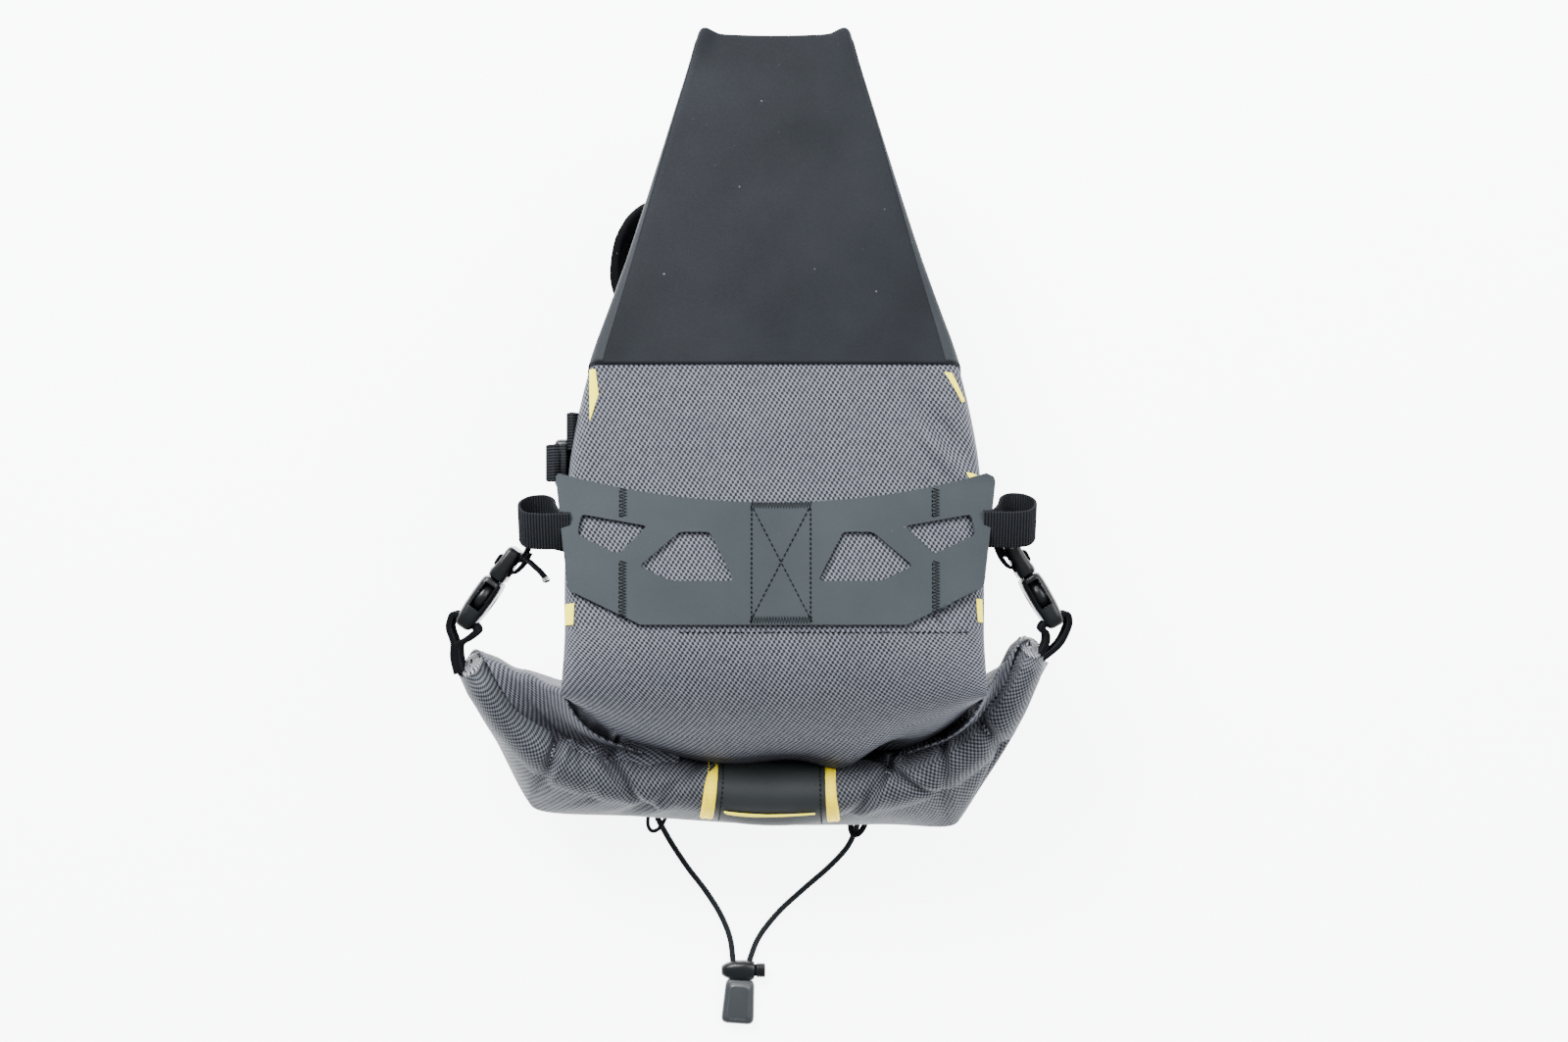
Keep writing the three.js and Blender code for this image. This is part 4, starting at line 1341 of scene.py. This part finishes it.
def make_tab(prefix, at, points):
    places = local_line(at, points, 90)
    piece = ribbon(f"{prefix}_tab_webbing", places, at.across, BUCKLE_WEB, 3.0, LOOK["webbing"])
    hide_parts(f"{prefix}_tab")


def make_strap(prefix, at, points):
    """The strap threaded through the plug, running from the bag, where it is sewn, to the plug."""
    places = local_line(at, points, 110)
    piece = ribbon(f"{prefix}_strap_webbing", places, at.across, BUCKLE_WEB, 1.4, LOOK["webbing"], body=None)
    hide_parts(f"{prefix}_strap")
    curve = Spline([(x, 0, z) for x, z in points])
    start, end = at.place(*curve.at(0.03)), at.place(*curve.at(0.4))
    metres(start)
    metres(end)
    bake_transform(piece)


# Webbing routes in a buckle's own axes, as (along, through) pairs: in and out of the plug, and round the bar.
CLOSURE_THREADING = [
    (55, 4.6), (50.5, 5.0), (48, 5.3), (45.5, 4.9), (44.3, 2.2), (44.2, -1.5), (43, -4.6), (40.5, -4.9),
    (37.6, -4.4), (36.9, -1), (37, 3), (38.5, 5.6), (42, 6.9), (46, 7.3), (52, 6.6),
]
ROUND_BAR = [(-1, 7), (2.6, 7.6), (3.9, 5), (4.3, 0), (3.9, -5), (2.6, -7.6), (-1, -7)]


def mirrored(points):
    return [(x, -z) for x, z in points]


def make_buckles():
    left_strap = [(66, 25.5), (62.5, 17), (59, 8.5)] + CLOSURE_THREADING
    right_strap = [(64, -15), (61, -10.5), (58.5, -6.6)] + mirrored(CLOSURE_THREADING)
    left_tab = [(-21, 14.6), (-14.5, 7.6), (-9, 4), (-4.5, 5.8)] + ROUND_BAR
    left_tab += [(-4.5, -5.2), (-9.6, 1.4), (-15.6, 5.4), (-22, 12.4)]
    right_tab = [(-9.4, -23), (-8.4, -15), (-5, -9.4)] + mirrored(ROUND_BAR)
    right_tab += [(-5.4, 2.6), (-9.2, -4), (-11, -13.6), (-11.8, -22)]
    make_buckle("left_closure", left_strap, left_tab)
    make_buckle("right_closure", right_strap, right_tab)
    rail_tab = [(-15, -1.6), (-9, -3)] + mirrored(ROUND_BAR) + [(-9, 3), (-15, 1.6)]
    rail_strap = [(92, 0), (80, 0.4), (66, 1), (60, 2.8)] + CLOSURE_THREADING
    rail_strap = [(x, z + 6.5 * smooth((x - 58) / 24)) for x, z in rail_strap]
    make_buckle("left_rail", mirrored(rail_strap), rail_tab)
    make_buckle("right_rail", rail_strap, rail_tab)
    make_strap_tail()
    make_rail_fold()


def make_strap_tail():
    """The left closure strap's loose end: a short fold of webbing with a pale sealed tip."""
    curve = Spline([
        (-135, -62, 97), (-130, -66, 97.5), (-125.5, -70, 98), (-122.5, -73.5, 98), (-121, -76, 98),
    ])
    piece = ribbon("left_strap_tail", curve.places(30), Vector((0, 0, 1)), 19, 1.5, LOOK["webbing"])
    tip = [curve.at(lerp(0.82, 1, i / 10)) + Vector((-0.4, 0.3, 0)) for i in range(11)]
    end = ribbon("left_strap_sealed_end", tip, Vector((0, 0, 1)), 19.4, 2.2, LOOK["pale_end"])


def make_rail_fold():
    """The rail strap's spare end on the left, folded up beside the shell."""
    curve = Spline([
        (-101.5, 3, 98), (-105.5, 3, 110), (-107.5, 3, 122), (-105.4, 3, 129),
        (-102.6, 3, 123), (-101.2, 3, 108),
    ])
    piece = ribbon("left_rail_spare_end", curve.places(50), Vector((0, 1, 0)), 20, 2.4, LOOK["webbing"])


# ---- seatpost strap ----
NOSE_TILT = math.atan2(NOSE_Z - TOP_Z, NOSE_Y - TOP_FRONT_Y)


def nose_local(x, y, z):
    """A point given on the nose face: y up the face from its foot and z into the bag."""
    c, n = math.cos(NOSE_TILT), math.sin(NOSE_TILT)
    return Vector((x, TOP_FRONT_Y + y * c - z * n, TOP_Z + y * n + z * c))


HOOK_CURL = Spline([
    (-44.3, 0, 0), (-57, 2.5, 0), (-70, 3.5, 0), (-80, -4, 0), (-86, -15, 0),
    (-89.5, -27, 0), (-90.5, -33, 0),
])
PAD_MIDDLE, PAD_HALF_WIDTH, PAD_HALF_THICK = 35, 29, 2.35
PAD_DEPTH, PAD_FACE = -2.8, -5.35
PAD_ROUND_END = 2.2


def strap_pad(name, node, low_x, high_x, body, material):
    """A soft padded length of hook-and-loop strap with rounded rims."""
    curled = body == "hook_flap"
    length = HOOK_CURL.length() if curled else high_x - low_x

    def shell(u, v):
        angle = 2 * math.pi * u
        wide, tall = squircle(angle, 5)
        end = min(v, 1 - v) * length
        pinch = math.sqrt(clamp(1 - (1 - end / PAD_ROUND_END) ** 2)) if end < PAD_ROUND_END else 1.0
        along = lerp(low_x, high_x, v)
        wave = 0.5 * noise_at((along, 30 * math.cos(angle), 0), 18, 4.0)
        thick = PAD_HALF_THICK * max(0.05, pinch)
        across = wide * (0.985 + 0.015 * pinch)
        if not curled:
            return nose_local(along, PAD_MIDDLE + across * PAD_HALF_WIDTH,
                PAD_DEPTH + tall * thick + wave * 0.4)
        t = 1 - v
        rounding = clamp((t - 0.72) / 0.28)
        spread = PAD_HALF_WIDTH * lerp(1.0, math.sqrt(max(0.02, 1 - rounding * rounding)), 0.85)
        y = PAD_MIDDLE + 6 * t - 6 * rounding + across * spread
        bend = HOOK_CURL.at(t)
        ahead, behind = HOOK_CURL.at(min(1.0, t + 0.01)), HOOK_CURL.at(max(0.0, t - 0.01))
        upward = Vector((0, math.cos(NOSE_TILT), math.sin(NOSE_TILT)))
        inward = upward.cross((ahead - behind).normalized()).normalized()
        place = nose_local(0, y, PAD_DEPTH) + Vector((bend.x, bend.y, 0))
        place.x += 15 * t * smooth((PAD_MIDDLE + 24 - y) / 50)
        return place + inward * (tall * (thick + 0.9 * t * pinch) + wave)

    piece = grid_sheet(name, shell, 64, 48, material, body=body)
    work = bmesh.new()
    work.from_mesh(piece.data)
    bmesh.ops.remove_doubles(work, verts=work.verts, dist=2e-6)
    bmesh.ops.holes_fill(work, edges=[e for e in work.edges if e.is_boundary])
    work.to_mesh(piece.data)
    work.free()
    face_outward(piece)
    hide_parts(node)
    return piece


def make_seatpost_strap():
    base = strap_pad("strap_base_pad", "seatpost_strap_base", -44, 44, "root", LOOK["webbing"])
    hook = strap_pad("hook_end_pad", "seatpost_strap_hook_flap", -84.2, -44.3, "hook_flap", LOOK["fuzz"])
    loop = strap_pad("loop_end_pad", "seatpost_strap_loop_flap", 44.3, 66.3, "loop_flap", LOOK["fuzz"])
    seams = Parts()
    for y in (9, 61):
        seams.add_seam([nose_local(x, y, PAD_FACE) for x in range(-42, 43, 2)], 3.0, 2.0, 0.35)
    for x in (-41, 41):
        seams.add_seam([nose_local(x, y, PAD_FACE) for y in range(9, 62, 2)], 3.0, 2.0, 0.35)
    seams.object("strap_base_stitches", LOOK["thread"])


# ---- lacing under the top panel ----
def make_lacing():
    """The strips with the laced cord's loops, the free cord's anchor tabs and the rings on them."""
    sideways = Vector((1, 0, 0))
    for side, sign in (("left", -1), ("right", 1)):
        places = [Vector((sign * 53, lerp(-134, 56.5, i / 60), 2.1)) for i in range(61)]
        strip = ribbon(f"daisy_strip_{side}", places, sideways, 18, 3.4, LOOK["webbing"])
        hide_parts(f"lacing_strip_{side}")
        low, high = node_box(f"cord_anchor_tab_{side}")
        x = (low.x + high.x) / 2
        places = [Vector((x, lerp(low.y, high.y, i / 40), 1.7 + 0.25 * math.sin(i * 0.4))) for i in range(41)]
        tab = ribbon(f"anchor_tab_{side}", places, sideways, 10.6, 1.6, LOOK["webbing"])
        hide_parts(f"cord_anchor_tab_{side}")
        make_cord_loop(side)


# Each ring on the bag: how far out of its CAD place it hangs, then its cord's radius and its half sizes.
RING_OUT = {"left": 4.8, "right": 6.5}
RING_SIZE = {"left": (1.15, 5.0, 9.0), "right": (1.7, 4.4, 9.4)}
RING_LOOK = {"left": ("cord", "shock_cord"), "right": ("webbing", "webbing")}


def make_cord_loop(side):
    """A small ring of cord, or a doubled tab of webbing, that the free cord is tied through."""
    low, high = node_box(f"cord_loop_{side}")
    middle = (low + high) / 2 - Vector((0, RING_OUT[side], 0.5))
    radius, across, down = RING_SIZE[side]
    ring = []
    for k in range(41):
        angle = 2 * math.pi * k / 40
        x = across * math.cos(angle) + 2.2 * math.sin(angle)
        z = 0.9 * math.cos(2 * angle) - 3.2 * math.sin(angle)
        ring.append(middle + Vector((x, down * math.sin(angle), z)))
    look, slot = RING_LOOK[side]
    piece = tube(f"tie_ring_{side}", ring, radius, LOOK[look])
    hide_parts(f"cord_loop_{side}")


LACE_CROSSINGS = 12


def make_laced_cord():
    """A cord that crosses from strip to strip under the bag."""
    low, high = node_box("laced_cord")
    corners = []
    for k in range(LACE_CROSSINGS + 1):
        y = lerp(low.y + 2, high.y - 2, k / LACE_CROSSINGS)
        corners.append(Vector((-40.2 if k % 2 else 40.2, y, 0)))
    places = []
    for a, b in zip(corners, corners[1:]):
        places += [a.lerp(b, i / 16) for i in range(16)]
    places.append(corners[-1])
    for place in places:
        place.z = 2.1 + 0.2 * math.sin(place.x * 0.2)
    piece = tube("zigzag_cord", places, 1.6, LOOK["cord"])
    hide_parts("laced_cord")


# ---- cord lock and the clip on the cord's ends ----
def solid(name, shape, centre, material, body="root", turn=0.0):
    """A body from a shape about its own origin, turned about the upright axis and put in place."""
    vertices, faces = shape
    c, n = math.cos(turn), math.sin(turn)
    placed = [centre + Vector((x * c - y * n, x * n + y * c, z)) for x, y, z in vertices]
    piece = build(name, placed, faces, material, body=body)
    face_outward(piece)
    return piece


# Half width and half height of the lock's bore and of the button that slides in it.
BORE, BUTTON_WIDE, BUTTON_TALL = (4.4, 3.2), 4.1, 2.9


def make_cord_lock():
    """The lock on the free cord: a barrel with a bore, the button and the spring behind it."""
    low, high = node_box("cord_lock_body")
    centre, half = (low + high) / 2, (high - low) / 2
    stations = [
        (-half.x, 1.9, 1.6), (-half.x + 0.5, 2.9, 2.6), (-half.x + 2.5, 4.1, 3.6),
        (-half.x + 6.5, half.y, half.z),
        (half.x - 6.5, half.y + 0.3, half.z), (half.x - 1.2, half.y - 0.1, half.z - 0.1),
        (half.x, half.y - 0.7, half.z - 0.5),
    ]
    piece = solid("lock_barrel", lofted(stations, 2.6, 36), centre, LOOK["plastic"])
    bore = lofted([(-half.x + 6, *BORE), (half.x + 3, *BORE)], 3.0, 28)
    cut(piece, [solid("cutter", bore, centre, LOOK["plastic"])])
    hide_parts("cord_lock_body")
    return [piece, make_button(), make_spring()]


def make_button():
    """The lock's button, with a stem inside the bore and three grooves on its head."""
    low, high = node_box("cord_lock_button")
    head = Vector((high.x, (low.y + high.y) / 2, (low.z + high.z) / 2))
    wide, tall = BUTTON_WIDE, min((high.z - low.z) / 2, BUTTON_TALL)
    stations = [(-13.8, 3.0, 2.4), (-13.4, 3.4, 2.7), (-5.0, 3.4, 2.7), (-4.8, wide, tall)]
    for groove in range(3):
        for ahead, inset in ((0, 0), (0.9, 0), (1.05, 0.35), (1.3, 0.35)):
            stations.append((-4.5 + groove * 1.45 + ahead, wide - inset, tall - inset))
    stations.append((0, wide - 0.7, tall - 0.7))
    button = solid("lock_plunger", lofted(stations, 2.6, 36), head, LOOK["plastic"], body="lock_button")
    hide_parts("cord_lock_button")
    return button


SPRING_TURNS, WIRE_RADIUS = 5, 0.28


def make_spring():
    low, high = node_box("cord_lock_spring")
    centre = (low + high) / 2
    radius = (high.z - low.z) / 2 - 0.3
    places = []
    for k in range(97):
        angle = 2 * math.pi * SPRING_TURNS * k / 96
        x = lerp(low.x + 0.3, high.x - 0.5, k / 96)
        places.append(Vector((x, centre.y + radius * math.cos(angle), centre.z + radius * math.sin(angle))))
    piece = tube("lock_coil", places, WIRE_RADIUS, LOOK["steel"], sides=8)
    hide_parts("cord_lock_spring")
    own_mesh(piece)
    return piece


END_CENTRE = Vector((-20.2, -308.2, 0))
END_OUTLINE = [(-8.2, 1.7), (8.2, 1.7), (9.6, -23.8), (-9.6, -23.8)]
END_MIDDLE_Y = -11.8
# Each step up to the raised face: inset, share of the height, and corner radius.
END_STEPS = ((0.0, 0.0, 4.2), (0.0, 0.5, 4.2), (0.8, 0.76, 3.8), (2.6, 0.84, 3.0), (3.3, 1.0, 2.6))
# Each half: its CAD node, the height of its rim and the height of its face.
END_HALVES = {"end_half_lower": ("cord_end_lower", 4.3, 0.5), "end_half_upper": ("cord_end_upper", 4.6, 8.6)}


def make_cord_end():
    """Two rounded halves that close over the cord's ends, each stepped up to a raised face."""
    halves = []
    for name, (node, rim, top) in END_HALVES.items():
        vertices = []
        for inset, share, radius in END_STEPS:
            narrow, short = (9 - inset) / 9, 1 - inset / 12
            ring = [(x * narrow, END_MIDDLE_Y + (y - END_MIDDLE_Y) * short) for x, y in END_OUTLINE]
            ring = rounded_outline(ring, radius, 6)
            vertices += [(x, y, lerp(rim, top, share)) for x, y in ring]
        shape = (vertices, skin(len(END_STEPS), len(ring)))
        piece = solid(name, shape, END_CENTRE, LOOK["grey_plastic"], turn=math.radians(-4))
        bevel(piece, 0.3, 3, 35)
        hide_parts(node)
        halves.append(piece)
    return halves


make_camera()
make_cords(make_cord_lock() + make_cord_end())
make_stage()
make_shell()
make_reinforcement()
make_nose()
make_roll()
make_wrap()
make_patch()
make_wing()
make_prints()
make_tail_loops()
make_inner_sheet()
make_buckles()
make_seatpost_strap()
make_lacing()
make_laced_cord()
